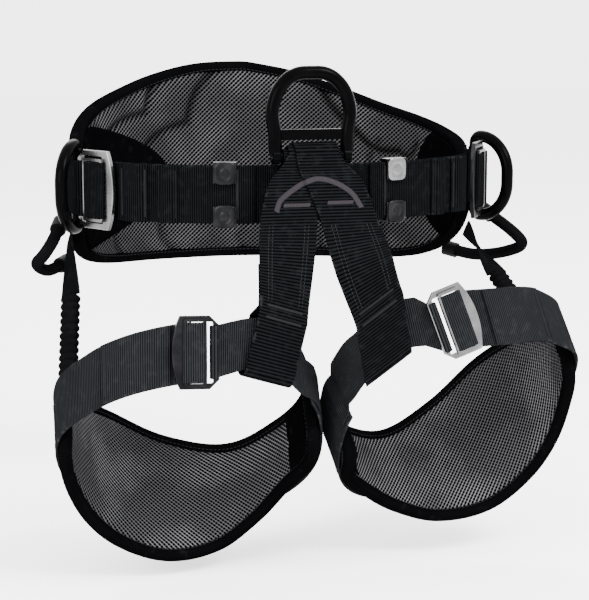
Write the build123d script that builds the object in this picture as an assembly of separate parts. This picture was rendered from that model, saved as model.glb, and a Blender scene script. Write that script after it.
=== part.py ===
"""Tree climbing saddle: a padded waist belt, a ventral ring and two padded leg loops.

Millimetres, +Z up, +X towards the wearer's left hand, -Y is the front of the wearer.
The origin is the centre of the waist opening, at the middle of the front webbing's width.
"""
from build123d import *
import math
import os

os.makedirs("parts", exist_ok=True)

# ---------------------------------------------------------------- driving dimensions
WAIST_HALF_WIDTH = 165.0
WAIST_HALF_DEPTH = 115.0
WEB_WIDTH = 45.0
WEB_THICK = 2.0
GAP = 0.3
PLY = WEB_THICK + GAP
SIDES = (-1, 1)
SIDE_NAME = {-1: "left", 1: "right"}

# waist pad: heights of its edges at angles from the middle of the back
PAD_TOP = [(0, 92), (15, 87), (30, 76), (45, 63), (60, 52), (75, 39), (84, 28), (88, 14)]
PAD_BOTTOM = [(0, -81), (30, -81), (55, -78), (70, -68), (82, -50), (88, -34)]
PAD_TOP_SKEW = 8.0
PAD_BOTTOM_SKEW = 2.0
PAD_END = 88.0
PAD_STEP = 5.5
PAD_INNER = -4.0
LINER_THICK = 1.2
FOAM_THICK = 7.7
SHELL_THICK = 1.5
BINDING_WIDTH = 9.0
BINDING_PROUD = 0.8
PATCH_THICK = 0.8
BACK_WEB_OUT = 8.1

# belt webbing: angles from the middle of the front
STRAP_START = 9.0
STRAP_END = 63.5
TAIL_START = 16.0
TAIL_END = 58.5
SLOT_LOOPS = ((37.5, 43.5), (47.0, 56.5))
SLOT_RISE = 3.0
KEEPER_ANGLE = 24.0
KEEPER_LENGTH = 18.0
KEEPER_THICK = 1.6
KEEPER_CLEAR = 0.9
KEEPER_TAB = 16.0

# side attachment rings
D_HEIGHT = 66.0
D_DEPTH = 35.0
D_WIRE = 5.0
D_CORNER = 6.0
D_BOW = 28.0
D_ANGLE = 82.5
D_OFFSET = 5.0
D_TURN = 60.0
TAB_WIDTH = 44.0

# ventral ring
RING_BAR = (-4.0, -125.0, 30.0)
RING_BAR_RADIUS = 4.0
RING_LEG_X = 28.2
RING_OUTLINE = [(28.6, 18, 60), (31.5, 34, 30), (26.5, 51, 28), (14, 63.5, 22)]
RING_CROSS = 16.5
RING_CROSS_SIZE = (4.5, 8.0)
RING_WIRE = 5.2
RING_EYE = 6.2
RING_EYE_LENGTH = 5.2
BRIDGE_WIDTH = 5.6
BRIDGE_X = 20.0
SLEEVE_HALF_WIDTH = 17.0
SLEEVE_SHIFT = 2.4

# risers and the flex line where the legs swing
FLEX_Z = -14.0
FLEX_HALF_GAP = 0.7
RISER_LEAN = 17.0
YOKE_MIDDLE_X = -4.2
YOKE_SPREAD = [(-14, 22.7), (2, 17.5), (12, 13.5), (20, 8.0), (30, 2.4)]
YOKE_HALF_WIDTH = [(-14, 22.5), (14, 22.5), (22, 20), (30, 17)]
RISER_FOOT_ANGLE = {-1: -29.0, 1: -33.0}
RISER_FOOT_CLEAR = 1.0
RISER_FOOT_BEHIND = 6.5
RISER_FOOT_BELOW = 2.8
RISER_FOOT_SPAN = 11.0
RISER_KNEE = 45.0
RISER_HEM_SETBACK = 6.0
RISER_HEM_STATION = 3

# buckles (local x along the strap, local y across it, local z outwards)
BUCKLE_LENGTH = {"waist": 42.0, "leg": 35.0}
BUCKLE_HEIGHT = {"waist": 62.0, "leg": 54.0}
BUCKLE_PLATE = {"waist": 12.0, "leg": 10.5}
BUCKLE_WRAP = {"waist": 18.0, "leg": 12.0}
BUCKLE_BAR = 4.6
BUCKLE_ARM = 4.4
BUCKLE_THICK = 3.2
BAR_LOOP_RADIUS = 3.3
BAR_LOOP_THICK = 1.6
SLIDER_RAIL = 2.2
SLIDER_THICK = 2.4
SLIDER_FIT = 0.4
WAIST_BUCKLE_ANGLE = 67.0
WAIST_BUCKLE_OUT = 6.0
TAB_START = 95.5
TAB_LIFTED = 87.0
TAB_INNER_END = 89.0

# gear loops: centre line of the right one
GEAR_WIRE = 5.0
GEAR_LINE = {
    -1: [(-181, -3, -31), (-190, -23, -43), (-199, -30, -54), (-203, -12, -62),
         (-197, 13, -70), (-186, 38, -77), (-169, 57, -72)],
    1: [(181, -3, -31), (196, -23, -44), (208, -30, -56), (212, -12, -64),
        (203, 13, -72), (189, 38, -77), (169, 57, -72)]}
GEAR_FERRULE = 12.0

# leg loops: centre, roll and size of each oval
LEG_CENTRE = {-1: (-102.0, -128.0, -176.0), 1: (111.0, -128.0, -163.0)}
LEG_ROLL = {-1: 3.0, 1: 18.0}
LEG_HALF_WIDTH = {-1: 96.0, 1: 100.0}
LEG_HALF_DEPTH = 86.0
LEG_TILT = 45.0
LEG_CONE = [(-60, 50), (-53, 24), (-46, 0), (-28, -6), (0, 5), (90, 25), (180, 43), (270, 25),
            (288, 32), (300, 50)]
LEG_STRAP_MID = [(-60, -12), (-28, -19), (0, -9), (90, -8), (130, 0), (180, 10), (230, 8),
                 (270, 2), (300, -12)]
LEG_LIFT = {-1: 2.0, 1: 14.0}
LEG_LIFT_ANGLE = -30.0
LEG_LIFT_SPREAD = 60.0
LEG_PAD_UP = [(86, -26), (92, -33), (120, -50), (150, -57), (180, -42), (210, -27), (240, -29),
              (280, -25), (288, -17)]
LEG_PAD_DOWN = [(86, 12), (95, 22), (110, 31), (130, 47), (150, 60), (175, 69), (200, 62),
                (220, 46), (245, 29), (280, 32), (288, 24)]
LEG_PAD_START = 86.0
LEG_PAD_END = 288.0
LEG_PAD_STEP = 7.0
LEG_PAD_INNER = -5.0
LEG_FOAM_THICK = 6.2
LEG_LINER_THICK = 1.0
LEG_SHELL_THICK = 1.2
LEG_STRAP_OVER_PAD = 5.2
LEG_BUCKLE_ANGLE = {-1: 6.5, 1: 1.0}
LEG_BUCKLE_OUT = 5.0
LEG_INNER_START = 302.0
LEG_INNER_HALF = 19.5

# rear elastics: upper end on the belt, where the gathered sleeve starts, where it ends
ELASTIC_TOP = {-1: (-172.0, 14.0, -47.0), 1: (172.0, 14.0, -49.0)}
ELASTIC_MID = {-1: (-177.0, -24.0, -88.0), 1: (187.0, -22.0, -84.0)}
ELASTIC_END = {-1: (-187.0, -68.0, -157.0), 1: (209.0, -68.0, -131.0)}
ELASTIC_WIDTH = 20.0
ELASTIC_TURN = 0.9
GATHER_WIDTH = 16.0
GATHER_THICK = 13.0
GATHER_RIBS = 13

nodes = {}


# ---------------------------------------------------------------- helpers
def smooth(table, x):
    """Value at x of a smooth curve through the (place, value) pairs of a table."""
    if x <= table[0][0]:
        return table[0][1]
    for i in range(len(table) - 1):
        x0, y0 = table[i]
        x1, y1 = table[i + 1]
        if x > x1:
            continue
        before = table[max(i - 1, 0)]
        after = table[min(i + 2, len(table) - 1)]
        span = x1 - x0
        slope0 = (y1 - before[1]) / (x1 - before[0]) * span
        slope1 = (after[1] - y0) / (after[0] - x0) * span
        t = (x - x0) / span
        a = 2 * t**3 - 3 * t**2 + 1
        b = t**3 - 2 * t**2 + t
        c = -2 * t**3 + 3 * t**2
        d = t**3 - t**2
        return a * y0 + b * slope0 + c * y1 + d * slope1
    return table[-1][1]


def ease(x):
    """Smooth step from 0 to 1."""
    x = min(max(x, 0.0), 1.0)
    return x * x * (3 - 2 * x)


def steps(start, end, size):
    """Evenly spaced values from start to end, about size apart."""
    count = max(1, round(abs(end - start) / size))
    return [start + (end - start) * i / count for i in range(count + 1)]


class Station:
    """One cross-section place on a band: its point, outward and widthwise directions."""

    def __init__(self, point, out, wide):
        self.point = Vector(*point)
        self.out = Vector(*out).normalized()
        self.wide = Vector(*wide).normalized()

    def at(self, out, wide):
        return self.point + self.out * out + self.wide * wide


def waist_station(angle, height=0.0):
    """Place on the waist oval, angle in degrees from the front towards +X."""
    s = math.sin(math.radians(angle))
    c = math.cos(math.radians(angle))
    point = (WAIST_HALF_WIDTH * s, -WAIST_HALF_DEPTH * c, height)
    return Station(point, (s / WAIST_HALF_WIDTH, -c / WAIST_HALF_DEPTH, 0), (0, 0, 1))


def leg_axes(side):
    """Sideways and forward-up directions of a leg oval."""
    roll = math.radians(LEG_ROLL[side])
    tilt = math.radians(LEG_TILT)
    lateral = Vector(side * math.cos(roll), 0, math.sin(roll))
    forward = Vector(0, -math.cos(tilt), math.sin(tilt))
    forward = (forward - lateral * forward.dot(lateral)).normalized()
    return lateral, forward


def from_front(angle):
    """The same place on a leg oval, counted backwards from the front on its inner side."""
    return angle if angle <= 300 else angle - 360


def leg_station(side, angle):
    """Place on a leg oval, angle in degrees from its front towards the outer side."""
    lateral, forward = leg_axes(side)
    s = math.sin(math.radians(angle))
    c = math.cos(math.radians(angle))
    half_width = LEG_HALF_WIDTH[side]
    centre = Vector(*LEG_CENTRE[side])
    point = centre + forward * (LEG_HALF_DEPTH * c) + lateral * (half_width * s)
    along = forward * (-LEG_HALF_DEPTH * s) + lateral * (half_width * c)
    cone = math.radians(smooth(LEG_CONE, from_front(angle)))
    wide = Vector(0, -math.sin(cone), -math.cos(cone))
    wide = (wide - lateral * (0.8 * wide.dot(lateral))).normalized()
    out = along.cross(wide).normalized()
    if out.dot(point - centre) < 0:
        out = -out
    return Station(point, out, wide)


def value_at(value, index):
    """A band's size at one station: a plain number or one number for each station."""
    return value[index] if isinstance(value, list) else value


def band(stations, out_low, out_high, wide_low, wide_high):
    """Closed solid band through the stations, between two offsets and two edges."""
    sections = []
    for i, station in enumerate(stations):
        low = value_at(out_low, i)
        high = value_at(out_high, i)
        near = value_at(wide_low, i)
        far = value_at(wide_high, i)
        corners = [station.at(low, near), station.at(high, near),
                   station.at(high, far), station.at(low, far)]
        sections.append(Face(Wire.make_polygon(corners, close=True)))
    return loft(sections, ruled=True)


def arc_stations(centre, radius, start, end, wide, first, second, size=15.0):
    """Stations round a bar: angles in the plane of the two given directions."""
    out = []
    for angle in steps(start, end, size):
        a = math.radians(angle)
        direction = Vector(*first) * math.cos(a) + Vector(*second) * math.sin(a)
        out.append(Station(Vector(*centre) + direction * radius, direction, wide))
    return out


def tube(path, radius):
    """Round bar along a path."""
    start = Plane(origin=path @ 0, z_dir=path % 0)
    return sweep(start * Circle(radius), path=path)


def local_plane(station, along):
    """Plane with x along the strap, y across it and z outwards."""
    y_dir = station.out.cross(Vector(*along)).normalized()
    x_dir = y_dir.cross(station.out).normalized()
    return Plane(origin=station.point, x_dir=x_dir, z_dir=station.out)


# ---------------------------------------------------------------- waist pad
def waist_pad_edges(back_angle, inset):
    """Lower and upper edge height of the waist pad at an angle from the middle of the back."""
    wave = math.sin(1.9 * math.radians(back_angle))
    top = smooth(PAD_TOP, abs(back_angle)) - PAD_TOP_SKEW * wave
    bottom = smooth(PAD_BOTTOM, abs(back_angle)) - PAD_BOTTOM_SKEW * wave
    return bottom + inset, top - inset


def waist_pad_layer(out_low, out_high, inset, end):
    """One layer of the waist pad, its outline drawn in by inset and stopping at +-end."""
    angles = steps(-end, end, PAD_STEP)
    edges = [waist_pad_edges(a, inset) for a in angles]
    stations = [waist_station(180 - a) for a in angles]
    return band(stations, out_low, out_high, [e[0] for e in edges], [e[1] for e in edges])


def make_waist_pad():
    inner_end = PAD_END - math.degrees(BINDING_WIDTH / (WAIST_HALF_DEPTH + 5))
    liner = PAD_INNER + LINER_THICK
    foam_low = liner + GAP
    foam_high = foam_low + FOAM_THICK
    shell_low = foam_high + GAP
    shell_high = shell_low + SHELL_THICK
    nodes["waist_mesh_liner"] = waist_pad_layer(PAD_INNER, liner, BINDING_WIDTH, inner_end)
    nodes["waist_foam"] = waist_pad_layer(foam_low, foam_high, BINDING_WIDTH, inner_end)
    nodes["waist_outer_shell"] = waist_pad_layer(shell_low, shell_high, BINDING_WIDTH, inner_end)
    rim_low = PAD_INNER - BINDING_PROUD
    rim_high = shell_high + BINDING_PROUD
    rim = waist_pad_layer(rim_low, rim_high, 0.0, PAD_END)
    hole_inset = BINDING_WIDTH - GAP
    hole = waist_pad_layer(rim_low - 5, rim_high + 5, hole_inset, inner_end + 0.15)
    nodes["waist_binding"] = rim - hole
    patches = []
    for side in SIDES:
        angles = steps(side * 62, side * (inner_end - 0.5), PAD_STEP)
        edges = [waist_pad_edges(a, BINDING_WIDTH + GAP) for a in angles]
        reach = [ease((abs(a) - 62) / 16) for a in angles]
        stations = [waist_station(180 - a) for a in angles]
        out_low = PAD_INNER - GAP - PATCH_THICK
        for edge, sign in ((1, 1), (0, -1)):
            rim_line = [e[edge] for e in edges]
            inner_line = [e[edge] - sign * (4 + 16 * r) for e, r in zip(edges, reach)]
            low = inner_line if sign > 0 else rim_line
            high = rim_line if sign > 0 else inner_line
            patches.append(band(stations, out_low, PAD_INNER - GAP, low, high))
    nodes["waist_end_patches"] = Compound(patches)


# ---------------------------------------------------------------- belt webbing
def waist_band(start, end, out_low, out_high, half_width=WEB_WIDTH / 2, size=4.0):
    """Webbing band on the waist oval between two angles from the front."""
    stations = [waist_station(a) for a in steps(start, end, size)]
    return band(stations, out_low, out_high, -half_width, half_width)


def d_bar(side):
    """Centre of a side ring's straight bar."""
    return waist_station(side * D_ANGLE).at(D_OFFSET, 0)


def make_belt_webbing():
    angles = steps(98, 262, 4.0)
    stations = [waist_station(a) for a in angles]
    half = WEB_WIDTH / 2
    nodes["waist_back_webbing"] = band(stations, BACK_WEB_OUT, BACK_WEB_OUT + WEB_THICK, -half, half)
    for side in SIDES:
        name = SIDE_NAME[side]
        strap = waist_band(side * STRAP_START, side * STRAP_END, 0.0, WEB_THICK)
        nodes[f"waist_strap_{name}"] = strap
        tail_low = PLY
        tail = waist_band(side * TAIL_START, side * TAIL_END, tail_low, tail_low + WEB_THICK)
        nodes[f"waist_strap_tail_{name}"] = tail
        loops = []
        for start, end in SLOT_LOOPS:
            loop_angles = steps(side * start, side * end, 1.0)
            middle = side * (start + end) / 2
            reach = (end - start) / 2
            rise = []
            for a in loop_angles:
                rise.append(SLOT_RISE * ease(1.6 * (1 - abs(a - middle) / reach)))
            low = [tail_low + PLY + r for r in rise]
            high = [v + WEB_THICK for v in low]
            loops.append(band([waist_station(a) for a in loop_angles], low, high, -half, half))
        nodes[f"tool_slot_loops_{name}"] = Compound(loops)
        nodes[f"side_ring_tab_{name}"] = make_side_tab(side)


def waist_buckle_plane(side):
    """Local plane of a waist buckle: x runs back towards the side ring."""
    station = waist_station(side * WAIST_BUCKLE_ANGLE)
    station = Station(station.at(WAIST_BUCKLE_OUT, 0), station.out, station.wide)
    back = waist_station(side * (WAIST_BUCKLE_ANGLE + 5)).point - station.point
    return local_plane(station, back)


def bar_loop_stations(plane, kind):
    """Stations of webbing that turns round a buckle's fixed bar, from outside to inside."""
    bar_x = (BUCKLE_LENGTH[kind] - BUCKLE_BAR) / 2
    centre = plane.from_local_coords(Vector(bar_x, 0, BUCKLE_THICK / 2))
    return arc_stations(centre, BAR_LOOP_RADIUS, 75, 270, plane.y_dir, plane.x_dir, plane.z_dir)


def make_side_tab(side):
    """Webbing that holds a side ring between two plies and loops round the buckle's fixed bar."""
    ring_out = D_OFFSET + D_WIRE + GAP
    ring_in = D_OFFSET - D_WIRE - GAP
    stations = []
    for a in steps(TAB_START, D_ANGLE - 1.5, 2.0):
        lift = ease((TAB_START - a) / (TAB_START - TAB_LIFTED))
        out = BACK_WEB_OUT + (ring_out - BACK_WEB_OUT) * lift
        station = waist_station(side * a)
        stations.append(Station(station.at(out, 0), station.out, station.wide))
    loop = bar_loop_stations(waist_buckle_plane(side), "waist")
    stations += [Station(s.point, s.out, (0, 0, 1)) for s in loop]
    for a in steps(D_ANGLE - 1.5, TAB_INNER_END, 2.0):
        station = waist_station(side * a)
        stations.append(Station(station.at(ring_in, 0), -station.out, station.wide))
    half = TAB_WIDTH / 2
    return band(stations, 0.0, BAR_LOOP_THICK, -half, half)


# ---------------------------------------------------------------- buckles
def buckle_outline(kind):
    """Outer outline of a buckle frame: a bowed plate end and chamfered fixed-bar corners."""
    x1 = BUCKLE_LENGTH[kind] / 2
    h = BUCKLE_HEIGHT[kind] / 2
    shoulder = -x1 + BUCKLE_PLATE[kind] * 0.55
    chamfer = 7.0
    edge = [Line((shoulder, -h), (x1 - chamfer, -h)),
            Line((x1 - chamfer, -h), (x1, -h + chamfer)),
            Line((x1, -h + chamfer), (x1, h - chamfer)),
            Line((x1, h - chamfer), (x1 - chamfer, h)),
            Line((x1 - chamfer, h), (shoulder, h)),
            ThreePointArc((shoulder, h), (-x1, 0), (shoulder, -h))]
    return make_face(Wire(edge))


def wrap_middle(kind):
    """Local x of the middle of a buckle's slider and of the webbing rolled over it."""
    window_start = BUCKLE_PLATE[kind] - BUCKLE_LENGTH[kind] / 2
    return window_start + SLIDER_FIT + BUCKLE_WRAP[kind] / 2


def buckle_frame(plane, kind):
    """Outer frame of a two-piece strap buckle, standing on the plane."""
    plate = BUCKLE_PLATE[kind]
    window_length = BUCKLE_LENGTH[kind] - plate - BUCKLE_BAR
    window_height = BUCKLE_HEIGHT[kind] - 2 * BUCKLE_ARM
    window = Pos((plate - BUCKLE_BAR) / 2, 0) * RectangleRounded(window_length, window_height, 1.5)
    frame = extrude(buckle_outline(kind) - window, BUCKLE_THICK)
    front = frame.faces().sort_by(Axis.Z)[-1]
    frame = fillet(front.outer_wire().edges(), 0.8)
    return plane * frame


def buckle_slider(plane, kind):
    """Inner sliding frame that lies proud on the outer frame and grips the webbing."""
    slot_height = WEB_WIDTH + 0.4
    slot_length = BUCKLE_WRAP[kind] + 2 * GAP
    rail = 2 * SLIDER_RAIL
    outline = RectangleRounded(slot_length + rail, slot_height + rail, 2.0)
    slot = RectangleRounded(slot_length, slot_height, 1.0)
    ring = extrude(outline - slot, SLIDER_THICK)
    return plane * (Pos(wrap_middle(kind), 0, BUCKLE_THICK + GAP) * ring)


def buckle_wrap(plane, kind):
    """Webbing that rises through the slider and rolls over inside its window."""
    h = BUCKLE_WRAP[kind] / 2
    half = (WEB_WIDTH - 1) / 2
    top = BUCKLE_THICK + GAP + SLIDER_THICK + 1.2
    shoulder = top - 3
    low = 0.4
    outline = Wire([Line((-h, low), (h, low)), Line((h, low), (h, shoulder)),
                    ThreePointArc((h, shoulder), (0, top), (-h, shoulder)),
                    Line((-h, shoulder), (-h, low))])
    face = Plane.XZ.offset(-half) * make_face(outline)
    roll = extrude(face, 2 * half, dir=(0, -1, 0))
    return plane * (Pos(wrap_middle(kind), 0, 0) * roll)


def make_buckle(plane, kind, name):
    nodes[f"{kind}_buckle_frame_{name}"] = buckle_frame(plane, kind)
    nodes[f"{kind}_buckle_slider_{name}"] = buckle_slider(plane, kind)
    nodes[f"{kind}_buckle_wrap_{name}"] = buckle_wrap(plane, kind)


def make_waist_buckles():
    for side in SIDES:
        make_buckle(waist_buckle_plane(side), "waist", SIDE_NAME[side])


# ---------------------------------------------------------------- belt hardware
def make_side_rings():
    for side in SIDES:
        outline = FilletPolyline((0, D_HEIGHT / 2), (17, D_HEIGHT / 2), (D_DEPTH, 17),
                                 (D_DEPTH, -17), (17, -D_HEIGHT / 2), (0, -D_HEIGHT / 2),
                                 radius=[D_CORNER, D_BOW, D_BOW, D_BOW, D_BOW, D_CORNER],
                                 close=True)
        turn = math.radians(D_TURN)
        reach = Vector(side * math.cos(turn), -math.sin(turn), 0)
        plane = Plane(origin=d_bar(side), x_dir=reach, z_dir=reach.cross(Vector(0, 0, 1)))
        path = plane * outline
        nodes[f"side_ring_{SIDE_NAME[side]}"] = tube(path, D_WIRE)


def make_keepers():
    """Metal clips over the strap and its tail: front tabs at both edges, plate behind."""
    half = WEB_WIDTH / 2
    for side in SIDES:
        station = waist_station(side * KEEPER_ANGLE)
        ahead = waist_station(side * (KEEPER_ANGLE + 3)).point
        plane = local_plane(station, ahead - station.point)
        inside = -KEEPER_CLEAR
        outside = 2 * WEB_THICK + GAP + KEEPER_CLEAR
        edge = half + KEEPER_CLEAR
        solid = Pos(0, 0, inside - KEEPER_THICK / 2) * Box(KEEPER_LENGTH, 2 * edge, KEEPER_THICK)
        depth = outside - inside + 2 * KEEPER_THICK
        middle = (outside + inside) / 2
        for sign in (1, -1):
            wall_y = sign * (edge + KEEPER_THICK / 2)
            solid += Pos(0, wall_y, middle) * Box(KEEPER_LENGTH, KEEPER_THICK, depth)
            tab = Box(KEEPER_LENGTH, KEEPER_TAB, KEEPER_THICK)
            tab_y = sign * (edge + KEEPER_THICK - KEEPER_TAB / 2)
            solid += Pos(0, tab_y, outside + KEEPER_THICK / 2) * tab
        nodes[f"strap_keeper_{SIDE_NAME[side]}"] = plane * solid


def make_gear_loops():
    ferrules = []
    for side in SIDES:
        points = [Vector(*corner) for corner in GEAR_LINE[side]]
        radii = []
        for before, corner, after in zip(points, points[1:], points[2:]):
            turn = (corner - before).get_angle(after - corner)
            run = min((corner - before).length, (after - corner).length)
            radii.append(0.45 * run / math.tan(math.radians(turn / 2)))
        path = FilletPolyline(*points, radius=radii)
        nodes[f"gear_loop_{SIDE_NAME[side]}"] = tube(path, GEAR_WIRE)
        for end, tangent in ((path @ 0, path % 0), (path @ 1, (path % 1) * -1)):
            seat = Plane(origin=end - tangent * 1.5, z_dir=tangent)
            cap = extrude(Circle(GEAR_WIRE + 1.6), GEAR_FERRULE)
            bore = Pos(0, 0, 1.4) * extrude(Circle(GEAR_WIRE + 0.05), GEAR_FERRULE)
            ferrules.append(seat * (cap - bore))
    nodes["gear_loop_ferrules"] = Compound(ferrules)


# ---------------------------------------------------------------- ventral ring and yoke
def make_ventral_ring():
    """Horseshoe ring with a cross bar, turning on a bar held by two screws."""
    bar = Vector(*RING_BAR)
    plane = Plane(origin=bar, x_dir=(1, 0, 0), z_dir=(0, -1, 0))
    right = [(x, z) for x, z, r in RING_OUTLINE]
    left = [(-x, z) for x, z in reversed(right)]
    radii = [r for x, z, r in RING_OUTLINE]
    points = [(RING_LEG_X, 0)] + right + left + [(-RING_LEG_X, 0)]
    outline = FilletPolyline(*points, radius=radii + radii[::-1])
    ring = tube(plane * outline, RING_WIRE)
    thick, tall = RING_CROSS_SIZE
    ring += Pos(*bar) * Pos(0, 0, RING_CROSS) * Box(2 * RING_LEG_X, thick, tall)
    across = Rot(0, 90, 0)
    for sign in (-1, 1):
        seat = Pos(*bar) * Pos(sign * RING_LEG_X, 0, 0) * across
        ring += seat * Cylinder(RING_EYE, RING_EYE_LENGTH)
        ring -= seat * Pos(0, 0, sign * 10) * Cylinder(RING_BAR_RADIUS + 0.05, 20 + 3 * RING_WIRE)
    nodes["ventral_ring"] = ring
    length = 2 * RING_LEG_X + RING_EYE_LENGTH
    nodes["ventral_ring_bar"] = Pos(*bar) * across * Cylinder(RING_BAR_RADIUS, length)
    screws = []
    for sign in (-1, 1):
        head = Cylinder(3.6, 1.2) - Pos(0, 0, 0.6) * Box(1.2, 8, 1.0)
        place = sign * (length / 2 + 0.65)
        screws.append(Pos(*bar) * Pos(place, 0, 0) * Rot(0, 90 * sign, 0) * head)
    nodes["ventral_ring_screws"] = Compound(screws)


def make_bridge():
    """Belt webbing strips that loop round the outer ends of the ring's bar."""
    bar = Vector(*RING_BAR)
    radius = RING_BAR_RADIUS + GAP
    strips = []
    face_y = -WAIST_HALF_DEPTH - WEB_THICK - GAP - 0.9
    for sign in (-1, 1):
        stations = arc_stations(bar, radius, 195, 0, (1, 0, 0), (0, 1, 0), (0, 0, 1))
        stations.append(Station((bar.X, face_y - 1.0, 22), (0, 1, 0), (1, 0, 0)))
        stations.append(Station((bar.X, face_y - 1.0, -21), (0, 1, 0), (1, 0, 0)))
        low = sign * BRIDGE_X - BRIDGE_WIDTH / 2
        strips.append(band(stations, 0.0, 1.4, low, low + BRIDGE_WIDTH))
    half = WEB_WIDTH / 2 - 1
    strips.append(waist_band(-STRAP_START + 0.4, STRAP_START - 0.4, 0.0, WEB_THICK, half, 2.0))
    nodes["ventral_bridge_webbing"] = Compound(strips)


def yoke_point(side, z):
    """Middle of a riser's upper end at a height: it spreads sideways and leans forward."""
    ply = 0.0 if side < 0 else PLY
    y = RING_BAR[1] - RING_BAR_RADIUS - PLY - 0.8 - ply
    y -= math.tan(math.radians(RISER_LEAN)) * (RING_BAR[2] - z)
    return Vector(YOKE_MIDDLE_X + side * smooth(YOKE_SPREAD, z), y, z)


def riser_out():
    lean = math.radians(RISER_LEAN)
    return Vector(0, -math.cos(lean), math.sin(lean))


def make_yoke():
    """The two risers' upper ends: looped round the bar and sewn together."""
    bar = Vector(*RING_BAR)
    for side in SIDES:
        stations = []
        widths = []
        for z in steps(FLEX_Z + FLEX_HALF_GAP, bar.Z - 6, 4.0):
            stations.append(Station(yoke_point(side, z), riser_out(), (1, 0, 0)))
            widths.append(smooth(YOKE_HALF_WIDTH, z))
        radius = RING_BAR_RADIUS + PLY + GAP + (0.0 if side < 0 else PLY)
        centre = bar + Vector(side * SLEEVE_SHIFT, 0, 0)
        wrap = arc_stations(centre, radius, 180 - RISER_LEAN, -5, (1, 0, 0), (0, 1, 0), (0, 0, 1))
        stations += wrap
        widths += [SLEEVE_HALF_WIDTH] * len(wrap)
        node = f"yoke_webbing_{SIDE_NAME[side]}"
        nodes[node] = band(stations, 0.0, WEB_THICK, [-w for w in widths], widths)


def strap_edge(side, angle):
    """Point just past the lower edge of the leg webbing."""
    reach = leg_strap_middle(side, angle) + LEG_INNER_HALF + RISER_FOOT_BELOW
    return leg_station(side, angle).at(0, reach)


def riser_foot(side):
    """Station at the leg webbing's lower edge where the riser is looped, wide along the webbing."""
    angle = RISER_FOOT_ANGLE[side]
    here = leg_station(side, angle)
    edge = strap_edge(side, angle)
    reach = side * RISER_FOOT_SPAN
    across = (strap_edge(side, angle + reach) - strap_edge(side, angle - reach)).normalized()
    out = (here.out - across * here.out.dot(across)).normalized()
    return Station(edge, out, across)


def make_risers():
    """Lower risers: from the flex line down, round the leg webbing and up behind to a hem."""
    half = WEB_WIDTH / 2
    front = WEB_THICK + RISER_FOOT_CLEAR
    middle = (front - RISER_FOOT_BEHIND) / 2
    radius = (front + RISER_FOOT_BEHIND) / 2
    for side in SIDES:
        top = yoke_point(side, FLEX_Z - FLEX_HALF_GAP)
        foot = riser_foot(side)
        rise = top - foot.point
        rise.Y -= rise.dot(foot.out) / foot.out.Y
        down = -rise.normalized()
        knee = foot.at(front, 0) - down * RISER_KNEE
        upper = []
        for t in steps(0, 1, 1 / 6):
            turn = ease(t)
            out = riser_out() * (1 - turn) + foot.out * turn
            wide = Vector(1, 0, 0) * (1 - turn) + foot.wide * turn
            upper.append(Station(top + (knee - top) * t, out, wide))
        fold = arc_stations(foot.at(middle, 0), radius, 0, 180, foot.wide, foot.out, down)
        behind = foot.at(-RISER_FOOT_BEHIND, 0) - down * (RISER_KNEE - RISER_HEM_SETBACK)
        stations = upper + fold + [Station(behind, -foot.out, foot.wide)]
        for lined in reversed(upper[RISER_HEM_STATION:-1]):
            stations.append(Station(lined.at(-GAP, 0), -lined.out, lined.wide))
        nodes[f"leg_riser_{SIDE_NAME[side]}"] = band(stations, 0.0, WEB_THICK, -half, half)


# ---------------------------------------------------------------- leg loops
def leg_pad_layer(side, out_low, out_high, inset, start, end):
    """One layer of a leg pad, its outline drawn in by inset."""
    angles = steps(start, end, LEG_PAD_STEP)
    stations = [leg_station(side, a) for a in angles]
    up = [smooth(LEG_PAD_UP, a) + inset for a in angles]
    down = [smooth(LEG_PAD_DOWN, a) - inset for a in angles]
    return band(stations, out_low, out_high, up, down)


def make_leg_pad(side):
    name = SIDE_NAME[side]
    inset_angle = math.degrees(BINDING_WIDTH / LEG_HALF_DEPTH)
    start = LEG_PAD_START + inset_angle
    end = LEG_PAD_END - inset_angle
    liner = LEG_PAD_INNER + LEG_LINER_THICK
    foam_low = liner + GAP
    foam_high = foam_low + LEG_FOAM_THICK
    shell_low = foam_high + GAP
    shell_high = shell_low + LEG_SHELL_THICK
    inset = BINDING_WIDTH
    nodes[f"leg_mesh_liner_{name}"] = leg_pad_layer(side, LEG_PAD_INNER, liner, inset, start, end)
    nodes[f"leg_foam_{name}"] = leg_pad_layer(side, foam_low, foam_high, inset, start, end)
    nodes[f"leg_outer_shell_{name}"] = leg_pad_layer(side, shell_low, shell_high, inset, start, end)
    rim_low = LEG_PAD_INNER - BINDING_PROUD
    rim_high = shell_high + BINDING_PROUD
    rim = leg_pad_layer(side, rim_low, rim_high, 0.0, LEG_PAD_START, LEG_PAD_END)
    hole = leg_pad_layer(side, rim_low - 4, rim_high + 4, inset - GAP, start - 0.2, end + 0.2)
    nodes[f"leg_binding_{name}"] = rim - hole
    angles = steps(256, end - 0.4, LEG_PAD_STEP)
    stations = [leg_station(side, a) for a in angles]
    up = [smooth(LEG_PAD_UP, a) + inset + GAP for a in angles]
    down = [smooth(LEG_PAD_DOWN, a) - inset - GAP for a in angles]
    high = LEG_PAD_INNER - GAP
    nodes[f"leg_end_patch_{name}"] = band(stations, high - PATCH_THICK, high, up, down)


def leg_strap_middle(side, angle):
    """Widthwise place of the leg webbing's middle."""
    angle = from_front(angle)
    bump = 1 - min(abs(angle - LEG_LIFT_ANGLE) / LEG_LIFT_SPREAD, 1)
    return smooth(LEG_STRAP_MID, angle) - LEG_LIFT[side] * ease(bump)


def leg_strap_out(angle):
    """Outward offset of the leg webbing: on the oval in front, over the pad behind."""
    if angle < 180:
        return LEG_STRAP_OVER_PAD * ease((angle - 58) / 26)
    return LEG_STRAP_OVER_PAD * ease((314 - angle) / 24)


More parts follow.
